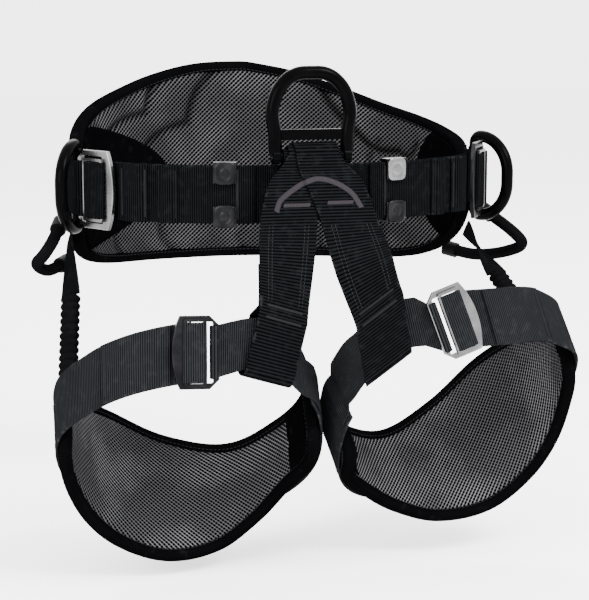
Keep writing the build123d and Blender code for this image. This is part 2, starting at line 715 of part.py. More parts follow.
def leg_band(side, start, end, extra_out, thick, half):
    """Webbing band on a leg oval."""
    angles = steps(start, end, 6.0)
    stations = [leg_station(side, a) for a in angles]
    middle = [leg_strap_middle(side, a) for a in angles]
    low = [leg_strap_out(a) + extra_out for a in angles]
    high = [v + thick for v in low]
    return band(stations, low, high, [m - half for m in middle], [m + half for m in middle])


def leg_buckle_plane(side):
    """Local plane of a leg buckle: x runs inwards, towards the riser."""
    angle = LEG_BUCKLE_ANGLE[side]
    here = leg_station(side, angle)
    middle = leg_strap_middle(side, angle)
    station = Station(here.at(LEG_BUCKLE_OUT, middle), here.out, here.wide)
    inward = leg_station(side, angle - 5).at(LEG_BUCKLE_OUT, middle) - station.point
    return local_plane(station, inward)


def make_leg_webbing(side):
    """Adjustable strap round the pad, its tail, and the fixed strap through the riser."""
    name = SIDE_NAME[side]
    half = WEB_WIDTH / 2
    nodes[f"leg_strap_{name}"] = leg_band(side, 8.0, 300.0, 0.0, WEB_THICK, half)
    nodes[f"leg_strap_tail_{name}"] = leg_band(side, 17.0, 50.0, PLY, WEB_THICK, half - 0.5)
    stations = []
    for a in steps(LEG_INNER_START, 346.0, 6.0):
        here = leg_station(side, a)
        middle = leg_strap_middle(side, a)
        point = here.at(leg_strap_out(a), middle)
        stations.append(Station(point, -here.out, here.wide))
    plane = leg_buckle_plane(side)
    loop = bar_loop_stations(plane, "leg")
    stations = [Station(s.at(-BAR_LOOP_THICK, 0), s.out, s.wide) for s in stations]
    stations += loop[::-1]
    nodes[f"leg_fixed_strap_{name}"] = band(stations, 0.0, BAR_LOOP_THICK,
                                            -LEG_INNER_HALF, LEG_INNER_HALF)


def make_legs():
    for side in SIDES:
        name = SIDE_NAME[side]
        make_leg_pad(side)
        make_leg_webbing(side)
        make_buckle(leg_buckle_plane(side), "leg", name)


# ---------------------------------------------------------------- rear elastics
def make_elastics():
    """Flat elastic from the belt, gathered in a ribbed sleeve down to the leg loop."""
    for side in SIDES:
        top = Vector(*ELASTIC_TOP[side])
        middle = Vector(*ELASTIC_MID[side])
        end = Vector(*ELASTIC_END[side])
        run = (end - middle).normalized()
        wide = Vector(side, -ELASTIC_TURN, 0).cross(run).normalized()
        face = run.cross(wide).normalized()
        start = Vector(side, 0, 0)
        edge = start.cross(run).normalized()
        flat = [Station(top, start, edge), Station(middle, face, wide)]
        half = ELASTIC_WIDTH / 2
        web = band(flat, -1, 1, -half, half)
        stations = []
        width = []
        thick = []
        length = (end - middle).length
        for i in range(2 * GATHER_RIBS + 1):
            along = 1.0 + (length - 1.0) * i / (2 * GATHER_RIBS)
            stations.append(Station(middle + run * along, face, wide))
            waist = 1.6 if i % 2 == 0 else 0.0
            width.append(GATHER_WIDTH / 2 - waist)
            thick.append(GATHER_THICK / 2 - waist)
        sleeve = band(stations, [-t for t in thick], thick, [-w for w in width], width)
        nodes[f"rear_elastic_{SIDE_NAME[side]}"] = Compound([web, sleeve])


# ---------------------------------------------------------------- build and write
make_waist_pad()
make_belt_webbing()
make_waist_buckles()
make_side_rings()
make_keepers()
make_gear_loops()
make_ventral_ring()
make_bridge()
make_yoke()
make_risers()
make_legs()
make_elastics()

for node_name, shape in nodes.items():
    export_step(shape, f"parts/{node_name}.step")
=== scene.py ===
"""Looks of the tree climbing saddle: pads, webbing, stitching and metalwork over the fixed frame.

Lengths in the classes are millimetres; MM turns them into metres when a mesh is made.
"""
import logging
import math
from dataclasses import dataclass, field
from enum import Enum
from typing import Callable, Iterable, Sequence

import bmesh
import bpy
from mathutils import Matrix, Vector


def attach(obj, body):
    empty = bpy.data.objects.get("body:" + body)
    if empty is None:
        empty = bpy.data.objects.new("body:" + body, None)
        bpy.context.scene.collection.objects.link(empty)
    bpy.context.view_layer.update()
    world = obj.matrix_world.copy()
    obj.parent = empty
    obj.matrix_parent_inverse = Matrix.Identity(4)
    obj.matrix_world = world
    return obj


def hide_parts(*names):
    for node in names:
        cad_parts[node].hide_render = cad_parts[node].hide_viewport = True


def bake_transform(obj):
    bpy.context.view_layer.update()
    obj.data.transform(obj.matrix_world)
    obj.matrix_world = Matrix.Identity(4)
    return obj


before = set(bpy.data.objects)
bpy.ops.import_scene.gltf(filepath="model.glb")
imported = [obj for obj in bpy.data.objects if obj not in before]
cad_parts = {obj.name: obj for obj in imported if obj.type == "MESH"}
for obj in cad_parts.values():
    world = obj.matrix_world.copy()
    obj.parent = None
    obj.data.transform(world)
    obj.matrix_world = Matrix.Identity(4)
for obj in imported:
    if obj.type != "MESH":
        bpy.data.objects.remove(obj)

MM = 0.001
LOG = logging.getLogger("saddle")
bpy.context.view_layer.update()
Number = float | int
Table = Sequence[tuple[float, float]]


class Side(Enum):
    """The two sides of the saddle, named as its nodes are; the value is the sign of x."""

    LEFT = -1
    RIGHT = 1

    @property
    def tag(self) -> str:
        """Ending of a node's name on this side."""
        return self.name.lower()


# ---------------------------------------------------------------- numbers and places
def smooth(table: Table, x: float) -> float:
    """Value at x of a smooth curve through a table.

    Args:
        table: (place, value) pairs in rising order of place.
        x: place to read.

    Returns:
        The value there, held constant past either end.
    """
    if x <= table[0][0]:
        return table[0][1]
    for i in range(len(table) - 1):
        x0, y0 = table[i]
        x1, y1 = table[i + 1]
        if x > x1:
            continue
        before = table[max(i - 1, 0)]
        after = table[min(i + 2, len(table) - 1)]
        span = x1 - x0
        slope0 = (y1 - before[1]) / (x1 - before[0]) * span
        slope1 = (after[1] - y0) / (after[0] - x0) * span
        t = (x - x0) / span
        rise = slope0 * (t**3 - 2 * t**2 + t) + slope1 * (t**3 - t**2)
        return y0 + (y1 - y0) * (3 * t**2 - 2 * t**3) + rise
    return table[-1][1]


def ease(x: float) -> float:
    """Smooth step from 0 to 1."""
    x = min(max(x, 0.0), 1.0)
    return x * x * (3 - 2 * x)


def spread(start: float, end: float, size: float) -> list[float]:
    """Evenly spaced values.

    Args:
        start: first value.
        end: last value.
        size: wanted distance between neighbours.

    Returns:
        The values, both ends included.
    """
    count = max(1, round(abs(end - start) / size))
    return [start + (end - start) * i / count for i in range(count + 1)]


def bump(x: float, width: float) -> float:
    """Round hill of height 1 at 0, nearly gone two widths away."""
    return math.exp(-((x / width) ** 2))


@dataclass
class Station:
    """One place along a strap: a point with outward and widthwise directions."""

    point: Vector
    out: Vector
    wide: Vector

    def __post_init__(self) -> None:
        """Make unit directions."""
        self.point = Vector(self.point)
        self.out = Vector(self.out).normalized()
        self.wide = Vector(self.wide).normalized()

    def at(self, out: float, wide: float) -> Vector:
        """Point offset outwards and across."""
        return self.point + self.out * out + self.wide * wide

    def moved(self, out: float, wide: float = 0.0) -> "Station":
        """The same station, offset outwards and across."""
        return Station(self.at(out, wide), self.out, self.wide)


def turn_round(centre: Vector, radius: float, start: float, end: float, wide: Vector,
               first: Vector, second: Vector, size: float = 10.0) -> list[Station]:
    """Stations of a strap that turns round a bar.

    Args:
        centre: middle of the bar.
        radius: distance of the strap's near face from it.
        start: first angle, in degrees from the first direction towards the second.
        end: last angle.
        wide: direction along the bar.
        first: direction at 0 degrees.
        second: direction at 90 degrees.
        size: degrees between stations.

    Returns:
        The stations in order.
    """
    found = []
    for angle in spread(start, end, size):
        a = math.radians(angle)
        way = first * math.cos(a) + second * math.sin(a)
        found.append(Station(centre + way * radius, way, wide))
    return found


def refined(stations: Sequence[Station], size: float = 3.0) -> list[Station]:
    """Stations with more of them set in between, on straight runs.

    Args:
        stations: places in order.
        size: largest distance to leave between neighbours.

    Returns:
        The longer list.
    """
    found = [stations[0]]
    for before, after in zip(stations, stations[1:]):
        count = max(1, math.ceil((after.point - before.point).length / size))
        for i in range(1, count + 1):
            t = i / count
            found.append(Station(before.point.lerp(after.point, t), before.out.lerp(after.out, t),
                                 before.wide.lerp(after.wide, t)))
    return found


@dataclass
class WaistOval:
    """Oval that the belt and its pad follow."""

    half_width: float = 165.0
    half_depth: float = 115.0

    def station(self, angle: float, height: float = 0.0) -> Station:
        """Place on the oval, angle in degrees from the front towards +X."""
        s = math.sin(math.radians(angle))
        c = math.cos(math.radians(angle))
        point = Vector((self.half_width * s, -self.half_depth * c, height))
        return Station(point, Vector((s / self.half_width, -c / self.half_depth, 0)),
                       Vector((0, 0, 1)))

    def run(self, start: float, end: float, size: float = 1.2) -> list[Station]:
        """Stations between two angles."""
        return [self.station(a) for a in spread(start, end, size)]


@dataclass
class Place:
    """Local axes of a buckle: x along the strap, y across it, z outwards."""

    origin: Vector
    x: Vector
    y: Vector
    z: Vector

    @classmethod
    def on(cls, station: Station, along: Vector) -> "Place":
        """Axes on a station whose x follows a direction."""
        y = station.out.cross(along).normalized()
        return cls(station.point, y.cross(station.out).normalized(), y, station.out)

    def at(self, x: float, y: float, z: float) -> Vector:
        """A local point in the saddle's frame."""
        return self.origin + self.x * x + self.y * y + self.z * z


# ---------------------------------------------------------------- shader nodes
class Wire:
    """A socket in a material that can be used in ordinary arithmetic."""

    def __init__(self, shop: "Shop", socket: bpy.types.NodeSocket) -> None:
        """Keep the socket and the shop that makes its nodes.

        Args:
            shop: maker of nodes in the same material.
            socket: output socket to wrap.
        """
        self.shop = shop
        self.socket = socket

    def _maths(self, operation: str, *values: "Wire | Number") -> "Wire":
        """A Math node on these values."""
        return self.shop.node("ShaderNodeMath", {"operation": operation}, dict(enumerate(values)))

    def __add__(self, other: "Wire | Number") -> "Wire":
        """Sum."""
        return self._maths("ADD", self, other)

    __radd__ = __add__

    def __sub__(self, other: "Wire | Number") -> "Wire":
        """Difference."""
        return self._maths("SUBTRACT", self, other)

    def __rsub__(self, other: Number) -> "Wire":
        """Number less this."""
        return self._maths("SUBTRACT", other, self)

    def __mul__(self, other: "Wire | Number") -> "Wire":
        """Product."""
        return self._maths("MULTIPLY", self, other)

    __rmul__ = __mul__

    def size(self) -> "Wire":
        """Value without its sign."""
        return self._maths("ABSOLUTE", self)

    def wave(self, pitch: float) -> "Wire":
        """Smooth wave from 0 to 1 that repeats every pitch."""
        return self._maths("SINE", self * (2 * math.pi / pitch)) * 0.5 + 0.5

    def between(self, low: float, high: float) -> "Wire":
        """Smooth step from 0 at low to 1 at high."""
        return self.shop.node("ShaderNodeMapRange", {"interpolation_type": "SMOOTHSTEP"},
                              {"Value": self, "From Min": low, "From Max": high})


class Shop:
    """Makes the nodes of one material."""

    def __init__(self, name: str) -> None:
        """Start an empty material.

        Args:
            name: the material's name.
        """
        self.material = bpy.data.materials.new(name)
        self.material.use_nodes = True
        self.tree = self.material.node_tree
        self.tree.nodes.clear()
        self.output = self.tree.nodes.new("ShaderNodeOutputMaterial")

    def node(self, kind: str, settings: dict[str, object] | None = None,
             inputs: dict[int | str, "Wire | Number | Sequence[float]"] | None = None,
             out: int | str = 0) -> Wire:
        """Add one node.

        Args:
            kind: the node's type.
            settings: properties set before its sockets.
            inputs: values or wires by socket name or number.
            out: output socket to return.

        Returns:
            The chosen output.
        """
        made = self.tree.nodes.new(kind)
        for key, value in (settings or {}).items():
            setattr(made, key, value)
        for key, value in (inputs or {}).items():
            if isinstance(value, Wire):
                self.tree.links.new(value.socket, made.inputs[key])
            else:
                made.inputs[key].default_value = value
        return Wire(self, made.outputs[out])

    def cloth(self) -> tuple[Wire, Wire, Wire]:
        """Millimetres along and across a piece, and how far it is pressed in, from its mesh."""
        vector = self.node("ShaderNodeAttribute", {"attribute_name": "cloth"}, out="Vector")
        parts = self.node("ShaderNodeSeparateXYZ", {}, {0: vector}).socket.node
        return tuple(Wire(self, part) for part in parts.outputs)

    def noise(self, scale: float, detail: float = 3.0, rough: float = 0.55) -> Wire:
        """Cloudy pattern from 0 to 1 in the object's own space."""
        place = self.node("ShaderNodeTexCoord", out="Object")
        return self.node("ShaderNodeTexNoise", {},
                         {"Vector": place, "Scale": scale, "Detail": detail, "Roughness": rough})

    def shade(self, factor: Wire, low: Wire | Sequence[float], high: Sequence[float]) -> Wire:
        """Colour that goes from low to high with a factor.

        Args:
            factor: 0 to 1.
            low: colour at 0.
            high: colour at 1.

        Returns:
            The mixed colour.
        """
        low = low if isinstance(low, Wire) else (*low, 1.0)
        return self.node("ShaderNodeMix", {"data_type": "RGBA"},
                         {0: factor, 6: low, 7: (*high, 1.0)}, 2)

    def finish(self, colour: Wire | Sequence[float], rough: Wire | float, height: Wire | None,
               depth: float = 0.0002, **fixed: float | Sequence[float]) -> bpy.types.Material:
        """Close the material with one surface shader.

        Args:
            colour: base colour.
            rough: roughness.
            height: relief from 0 to 1, or none.
            depth: relief depth in metres.
            **fixed: other sockets, with underscores for spaces.

        Returns:
            The finished material.
        """
        inputs: dict[int | str, Wire | Number | Sequence[float]] = {
            "Base Color": colour if isinstance(colour, Wire) else (*colour, 1.0),
            "Roughness": rough}
        inputs.update({key.replace("_", " "): value for key, value in fixed.items()})
        if height is not None:
            inputs["Normal"] = self.node("ShaderNodeBump", {},
                                         {"Strength": 1.0, "Distance": depth, "Height": height})
        surface = self.node("ShaderNodeBsdfPrincipled", {}, inputs)
        self.tree.links.new(surface.socket, self.output.inputs["Surface"])
        return self.material


# ---------------------------------------------------------------- finishes
@dataclass(frozen=True)
class Webbing:
    """Black woven webbing with ribs across it, worn a little along its edges."""

    name: str = "black webbing"
    groove: tuple[float, float, float] = (0.0003, 0.0003, 0.00035)
    ridge: tuple[float, float, float] = (0.0044, 0.0047, 0.0052)
    worn: tuple[float, float, float] = (0.0095, 0.0098, 0.0105)
    pitch: float = 1.7
    half_width: float = 22.5

    def make(self) -> bpy.types.Material:
        """Build the material."""
        shop = Shop(self.name)
        along, across, _ = shop.cloth()
        rib = along.wave(self.pitch)
        thread = across.wave(0.9)
        height = rib * 0.8 + rib * thread * 0.35
        cloud = shop.noise(38.0)
        edge = across.size().between(self.half_width - 1.9, self.half_width - 0.4)
        colour = shop.shade(height * (0.62 + cloud * 0.6), self.groove, self.ridge)
        wear = shop.noise(160.0).between(0.5, 0.72) * (0.18 + edge * 0.6)
        colour = shop.shade(wear, colour, self.worn)
        return shop.finish(colour, 0.6 - rib * 0.12, height, 0.00040, Specular_IOR_Level=0.0)


@dataclass(frozen=True)
class SpacerMesh:
    """Grey knitted spacer mesh with staggered holes."""

    name: str = "grey spacer mesh"
    hole: tuple[float, float, float] = (0.0002, 0.0002, 0.00025)
    yarn: tuple[float, float, float] = (0.0125, 0.0123, 0.0130)
    light: tuple[float, float, float] = (0.056, 0.055, 0.058)
    pitch: float = 4.3
    lean: float = 1.15

    def make(self) -> bpy.types.Material:
        """Build the material."""
        shop = Shop(self.name)
        along, across, pressed = shop.cloth()
        first = (along + across * self.lean).wave(self.pitch)
        second = (along - across * self.lean).wave(self.pitch)
        opening = (first * second).between(0.04, 0.42)
        stroke = second.between(0.0, 0.5)
        yarn = shop.noise(900.0, 2.0)
        cloud = shop.noise(22.0)
        solid = 1 - opening
        colour = shop.shade(solid * (0.72 + yarn * 0.4), self.hole, self.yarn)
        lit = (1 - stroke) * (0.35 + cloud.between(0.4, 0.7) * 0.65)
        colour = shop.shade(lit * solid, colour, self.light)
        # Painted shade: the colour darkens towards the hole colour where the face is pressed into
        # grooves.
        colour = shop.shade(pressed * 0.8, colour, self.hole)
        height = solid + yarn * 0.16
        return shop.finish(colour, 0.85, height, 0.0008, Specular_IOR_Level=0.0)


@dataclass(frozen=True)
class PlainCloth:
    """Black plain-woven cloth for shells, bindings and patches."""

    name: str = "black plain cloth"
    dark: tuple[float, float, float] = (0.0002, 0.0002, 0.0003)
    light: tuple[float, float, float] = (0.0014, 0.0014, 0.0016)
    pitch: float = 1.1
    depth: float = 0.00016
    scuffed: tuple[float, float, float] = (0.005, 0.005, 0.0055)

    def make(self) -> bpy.types.Material:
        """Build the material."""
        shop = Shop(self.name)
        along, across, _ = shop.cloth()
        over = along.wave(self.pitch)
        under = across.wave(self.pitch)
        weave = over * under + (1 - over) * (1 - under)
        cloud = shop.noise(30.0)
        colour = shop.shade(weave * (0.5 + cloud * 0.8), self.dark, self.light)
        scuff = shop.noise(120.0).between(0.58, 0.78)
        colour = shop.shade(scuff * 0.35, colour, self.scuffed)
        return shop.finish(colour, 0.72 - cloud * 0.1, weave, self.depth,
                           Specular_IOR_Level=0.0)


@dataclass(frozen=True)
class Thread:
    """Sewing thread."""

    name: str
    colour: tuple[float, float, float]

    def make(self) -> bpy.types.Material:
        """Build the material."""
        shop = Shop(self.name)
        twist = shop.noise(2600.0, 1.0)
        dark = tuple(c * 0.55 for c in self.colour)
        return shop.finish(shop.shade(twist, dark, self.colour), 0.6, twist, 0.00006,
                           Specular_IOR_Level=0.0)


@dataclass(frozen=True)
class Metal:
    """Metal with fine brushing, clouded polish and small scratches."""

    name: str
    colour: tuple[float, float, float]
    worn: tuple[float, float, float]
    rough: float = 0.3
    metallic: float = 1.0
    shine: float = 0.5

    def make(self) -> bpy.types.Material:
        """Build the material."""
        shop = Shop(self.name)
        cloud = shop.noise(60.0, 4.0)
        grain = shop.noise(1400.0, 2.0)
        scratch = shop.noise(420.0, 5.0, 0.7).between(0.6, 0.74)
        colour = shop.shade(cloud.between(0.35, 0.75) * 0.5 + scratch * 0.35, self.colour, self.worn)
        rough = self.rough + cloud * 0.12 + scratch * 0.1 - 0.06
        return shop.finish(colour, rough, grain * 0.6 + scratch * 0.4, 0.000012,
                           Metallic=self.metallic, Specular_IOR_Level=self.shine)


@dataclass(frozen=True)
class Moulding:
    """Matte moulded black plastic."""

    name: str = "moulded black"
    dark: tuple[float, float, float] = (0.0006, 0.0006, 0.0007)
    light: tuple[float, float, float] = (0.002, 0.002, 0.0022)

    def make(self) -> bpy.types.Material:
        """Build the material."""
        shop = Shop(self.name)
        grain = shop.noise(1500.0, 2.0)
        cloud = shop.noise(70.0)
        colour = shop.shade(cloud, self.dark, self.light)
        return shop.finish(colour, 0.48 + grain * 0.12, grain, 0.00003,
                           Specular_IOR_Level=0.03)


@dataclass
class Finishes:
    """Every finish of the saddle, made once."""

    webbing: bpy.types.Material = field(default_factory=lambda: Webbing().make())
    riser: bpy.types.Material = field(
        default_factory=lambda: Webbing(name="riser webbing", pitch=2.6).make())
    # Painted light: a brighter copy of the black webbing for the leg loops, standing in for the light
    # from above and the right that falls on them.
    leg_webbing: bpy.types.Material = field(
        default_factory=lambda: Webbing("leg webbing", (0.0014, 0.0015, 0.0017),
                                        (0.0115, 0.0122, 0.0132), (0.02, 0.0207, 0.022)).make())
    mesh: bpy.types.Material = field(default_factory=lambda: SpacerMesh().make())
    # Painted light: a brighter copy of the spacer mesh for the leg pads, standing in for the light
    # they catch.
    leg_mesh: bpy.types.Material = field(
        default_factory=lambda: SpacerMesh("leg spacer mesh", yarn=(0.017, 0.0168, 0.0178),
                                           light=(0.074, 0.073, 0.077), pitch=4.0).make())
    cloth: bpy.types.Material = field(default_factory=lambda: PlainCloth().make())
    shell: bpy.types.Material = field(
        default_factory=lambda: PlainCloth("shell cloth", (0.0012, 0.0012, 0.0014),
                                           (0.0072, 0.0073, 0.0079), 1.5, 0.0002).make())
    tape: bpy.types.Material = field(
        default_factory=lambda: PlainCloth("binding tape", (0.0002, 0.0002, 0.0003),
                                           (0.0019, 0.0019, 0.0021), 1.4, 0.0002).make())
    cover: bpy.types.Material = field(
        default_factory=lambda: PlainCloth("tube cover", (0.0003, 0.0003, 0.0004),
                                           (0.0042, 0.0042, 0.0046), 1.9, 0.0003).make())
    black_thread: bpy.types.Material = field(
        default_factory=lambda: Thread("black thread", (0.0125, 0.0125, 0.0135)).make())
    grey_thread: bpy.types.Material = field(
        default_factory=lambda: Thread("grey thread", (0.020, 0.018, 0.020)).make())
    black_metal: bpy.types.Material = field(
        default_factory=lambda: Metal("black anodised", (0.0004, 0.0004, 0.0005),
                                      (0.001, 0.001, 0.0011), 0.2, 0.0, 0.01).make())
    steel: bpy.types.Material = field(
        default_factory=lambda: Metal("satin steel", (0.085, 0.084, 0.086),
                                      (0.19, 0.19, 0.192), 0.27).make())
    # Painted shade: a darkened copy of the satin steel for steel parts that stand in shade; the
    # ring's screws and the keeper bodies use it too.
    shaded_steel: bpy.types.Material = field(
        default_factory=lambda: Metal("dark satin steel", (0.0055, 0.0055, 0.006),
                                      (0.021, 0.021, 0.022), 0.3).make())
    moulding: bpy.types.Material = field(default_factory=lambda: Moulding().make())


# ---------------------------------------------------------------- mesh builders
def place(made: bpy.types.Object, body: str, slot: str, *nodes: str) -> bpy.types.Object:
    """Put a piece on its body and hide the nodes it stands for.

    Args:
        made: the piece.
        body: body it moves with.
        slot: the record's material slot; not used.
        *nodes: CAD nodes it replaces.

    Returns:
        The same piece.
    """
    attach(made, body)
    if nodes:
        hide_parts(*nodes)
    LOG.info("%s on %s", made.name, body)
    return made


def dress(node: str, material: bpy.types.Material) -> None:
    """Give a CAD node another finish."""
    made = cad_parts[node]
    made.data.materials.clear()
    made.data.materials.append(material)
    LOG.info("%s dressed", node)


def travelled(points: Sequence[Vector]) -> list[float]:
    """Distance from the first point to each."""
    found = [0.0]
    for a, b in zip(points, points[1:]):
        found.append(found[-1] + (b - a).length)
    return found


def heading(path: Sequence[Vector], k: int) -> Vector:
    """Unit direction of a path at its point k."""
    return (path[min(k + 1, len(path) - 1)] - path[max(k - 1, 0)]).normalized()


def softened(corners: Sequence[Vector], steps: int, rounds: int) -> list[Vector]:
    """Soft path along a line of corners, with both ends kept.

    Args:
        corners: points in order.
        steps: parts that each straight run is divided into.
        rounds: how many times each point moves towards its neighbours.

    Returns:
        The path.
    """
    path = [corners[0]]
    for a, b in zip(corners, corners[1:]):
        path += [a.lerp(b, k / steps) for k in range(1, steps + 1)]
    for _ in range(rounds):
        inner = [(a + b * 2 + c) / 4 for a, b, c in zip(path, path[1:], path[2:])]
        path = [path[0]] + inner + [path[-1]]
    return path


def squared(value: float, power: float) -> float:
    """Sine or cosine raised to a power with its sign kept, which squares off a round section."""
    return math.copysign(abs(value) ** power, value)


def piece(name: str, points: Sequence[Vector], faces: Sequence[Sequence[int]],
          cloth: Sequence[tuple[float, ...]] | None,
          material: bpy.types.Material) -> bpy.types.Object:
    """Make one object.

    Args:
        name: its name.
        points: corners in millimetres.
        faces: corner numbers of each face.
        cloth: distances along and across, and pressed depth, for each corner, or none.
        material: its finish.

    Returns:
        The new object.
    """
    mesh = bpy.data.meshes.new(name)
    mesh.from_pydata([p * MM for p in points], [], faces)
    if cloth is not None:
        store = mesh.attributes.new("cloth", "FLOAT_VECTOR", "POINT")
        store.data.foreach_set("vector", [v for spot in cloth for v in (*spot, 0.0)[:3]])
    tidy = bmesh.new()
    tidy.from_mesh(mesh)
    bmesh.ops.recalc_face_normals(tidy, faces=tidy.faces)
    tidy.to_mesh(mesh)
    tidy.free()
    mesh.polygons.foreach_set("use_smooth", [True] * len(mesh.polygons))
    mesh.materials.append(material)
    made = bpy.data.objects.new(name, mesh)
    bpy.context.scene.collection.objects.link(made)
    return made


def swept(name: str, rings: Sequence[Sequence[Vector]], along: Sequence[float],
          across: Sequence[float], material: bpy.types.Material,
          closed: bool = False) -> bpy.types.Object:
    """Skin through cross-section rings.

    Args:
        name: the object's name.
        rings: one loop of points for each place, all of the same count.
        along: distance along the piece of each ring.
        across: distance across the piece of each point in a ring.
        material: its finish.
        closed: whether the last ring joins the first; otherwise both ends are capped.

    Returns:
        The new object.
    """
    count = len(rings[0])
    points = [p for ring in rings for p in ring]
    cloth = [(a, w) for a in along for w in across]
    faces = []
    for i in range(len(rings) if closed else len(rings) - 1):
        j = (i + 1) % len(rings)
        for k in range(count):
            m = (k + 1) % count
            faces.append((i * count + k, i * count + m, j * count + m, j * count + k))
    if not closed:
        faces.append(tuple(range(count))[::-1])
        last = (len(rings) - 1) * count
        faces.append(tuple(range(last, last + count)))
    return piece(name, points, faces, cloth, material)


def shell_faces(lines: int, rows: int) -> list[tuple[int, ...]]:
    """Faces of a closed slab given as two grids of points, one after the other.

    Args:
        lines: lines of points in each grid.
        rows: points in each line.

    Returns:
        Corner numbers of every face.
    """
    sheet = lines * rows
    faces: list[tuple[int, ...]] = []
    for shift in (0, sheet):
        for i in range(lines - 1):
            for j in range(rows - 1):
                k = shift + i * rows + j
                faces.append((k, k + 1, k + rows + 1, k + rows))
    rim = list(range(rows)) + [i * rows + rows - 1 for i in range(1, lines)]
    rim += [(lines - 1) * rows + j for j in range(rows - 2, -1, -1)]
    rim += [i * rows for i in range(lines - 2, 0, -1)]
    faces += [(a, b, b + sheet, a + sheet) for a, b in zip(rim, rim[1:] + rim[:1])]
    return faces


@dataclass
class Ribbon:
    """A flat strap with rounded woven edges, through stations."""

    stations: Sequence[Station]
    low: float = 0.0
    high: float = 2.0
    half: float | Sequence[float] = 22.5
    lift: Sequence[float] | None = None
    columns: tuple[tuple[float, float], ...] = (
        (-1.0, 0.25), (-0.985, 0.8), (-0.95, 1.0), (-0.93, 0.86), (-0.6, 0.96), (0.0, 1.0),
        (0.6, 0.96), (0.93, 0.86), (0.95, 1.0), (0.985, 0.8), (1.0, 0.25))

    def make(self, name: str, material: bpy.types.Material) -> bpy.types.Object:
        """Build the strap.

        Args:
            name: the object's name.
            material: its finish.

        Returns:
            The new object.
        """
        rings = []
        middle = (self.low + self.high) / 2
        thick = (self.high - self.low) / 2
        count = len(self.stations)
        halves = self.half if isinstance(self.half, Sequence) else [self.half] * count
        raised = self.lift or [0.0] * count
        for station, half, up in zip(self.stations, halves, raised):
            upper = [station.at(middle + up + thick * h, half * w) for w, h in self.columns]
            under = [station.at(middle + up - thick * h, half * w)
                     for w, h in reversed(self.columns)]
            rings.append(upper + under)
        widest = max(halves)
        across = [w * widest for w, _ in self.columns]
        along = travelled([s.point for s in self.stations])
        return swept(name, rings, along, across + across[::-1], material)


@dataclass
class StitchRow:
    """Small threads laid end to end along a line."""

    pitch: float = 3.4
    length: float = 2.5
    thick: float = 0.42

    def strokes(self, line: Sequence[tuple[Vector, Vector]]) -> list[tuple[Vector, Vector, Vector]]:
        """Places of the threads along a line.

        Args:
            line: points, each with its outward direction.

        Returns:
            Middle, direction and outward direction of each thread.
        """
        far = travelled([p for p, _ in line])
        found = []
        place = self.pitch / 2
        i = 0
        while place < far[-1]:
            while far[i + 1] < place:
                i += 1
            t = (place - far[i]) / max(far[i + 1] - far[i], 1e-6)
            a, b = line[i], line[i + 1]
            way = (b[0] - a[0]).normalized()
            found.append((a[0].lerp(b[0], t), way, a[1].lerp(b[1], t).normalized()))
            place += self.pitch
        return found


def sewn(name: str, strokes: Iterable[tuple[Vector, Vector, Vector]], length: float, thick: float,
         material: bpy.types.Material) -> bpy.types.Object:
    """One object of many short threads.

    Args:
        name: its name.
        strokes: middle, direction and outward direction of each.
        length: length of a thread.
        thick: its radius.
        material: its finish.

    Returns:
        The new object.
    """
    points: list[Vector] = []
    faces: list[tuple[int, ...]] = []
    profile = ((-0.5, 0.25), (-0.32, 0.85), (0.0, 1.0), (0.32, 0.85), (0.5, 0.25))
    for middle, way, out in strokes:
        beside = way.cross(out).normalized()
        base = len(points)
        for along, size in profile:
            for k in range(5):
                a = 2 * math.pi * k / 5
                ring = beside * math.cos(a) + out * math.sin(a) * 0.8
                points.append(middle + way * (along * length) + ring * (size * thick))
        for i in range(len(profile) - 1):
            for k in range(5):
                m = (k + 1) % 5
                faces.append((base + i * 5 + k, base + i * 5 + m, base + i * 5 + 5 + m,
                              base + i * 5 + 5 + k))
        faces.append(tuple(base + k for k in range(5))[::-1])
        faces.append(tuple(base + 20 + k for k in range(5)))
    return piece(name, points, faces, None, material)


def strap_line(stations: Sequence[Station], wide: float,
               out: float) -> list[tuple[Vector, Vector]]:
    """Line along a strap, at a place across it and a height above it."""
    return [(s.at(out, wide), s.out) for s in stations]


def bar_tack(station: Station, along: Vector, half: float, out: float,
             width: float = 2.6) -> list[tuple[Vector, Vector, Vector]]:
    """Threads of a dense bar tack across a strap.

    Args:
        station: its middle.
        along: direction of the strap.
        half: half of its length across the strap.
        out: height above the station.
        width: width of the tack along the strap.

    Returns:
        The threads.
    """
    found = []
    way = along.normalized() * width + station.wide * 0.7
    for w in spread(-half, half, 0.85):
        found.append((station.at(out, w), way.normalized(), station.out))
    return found


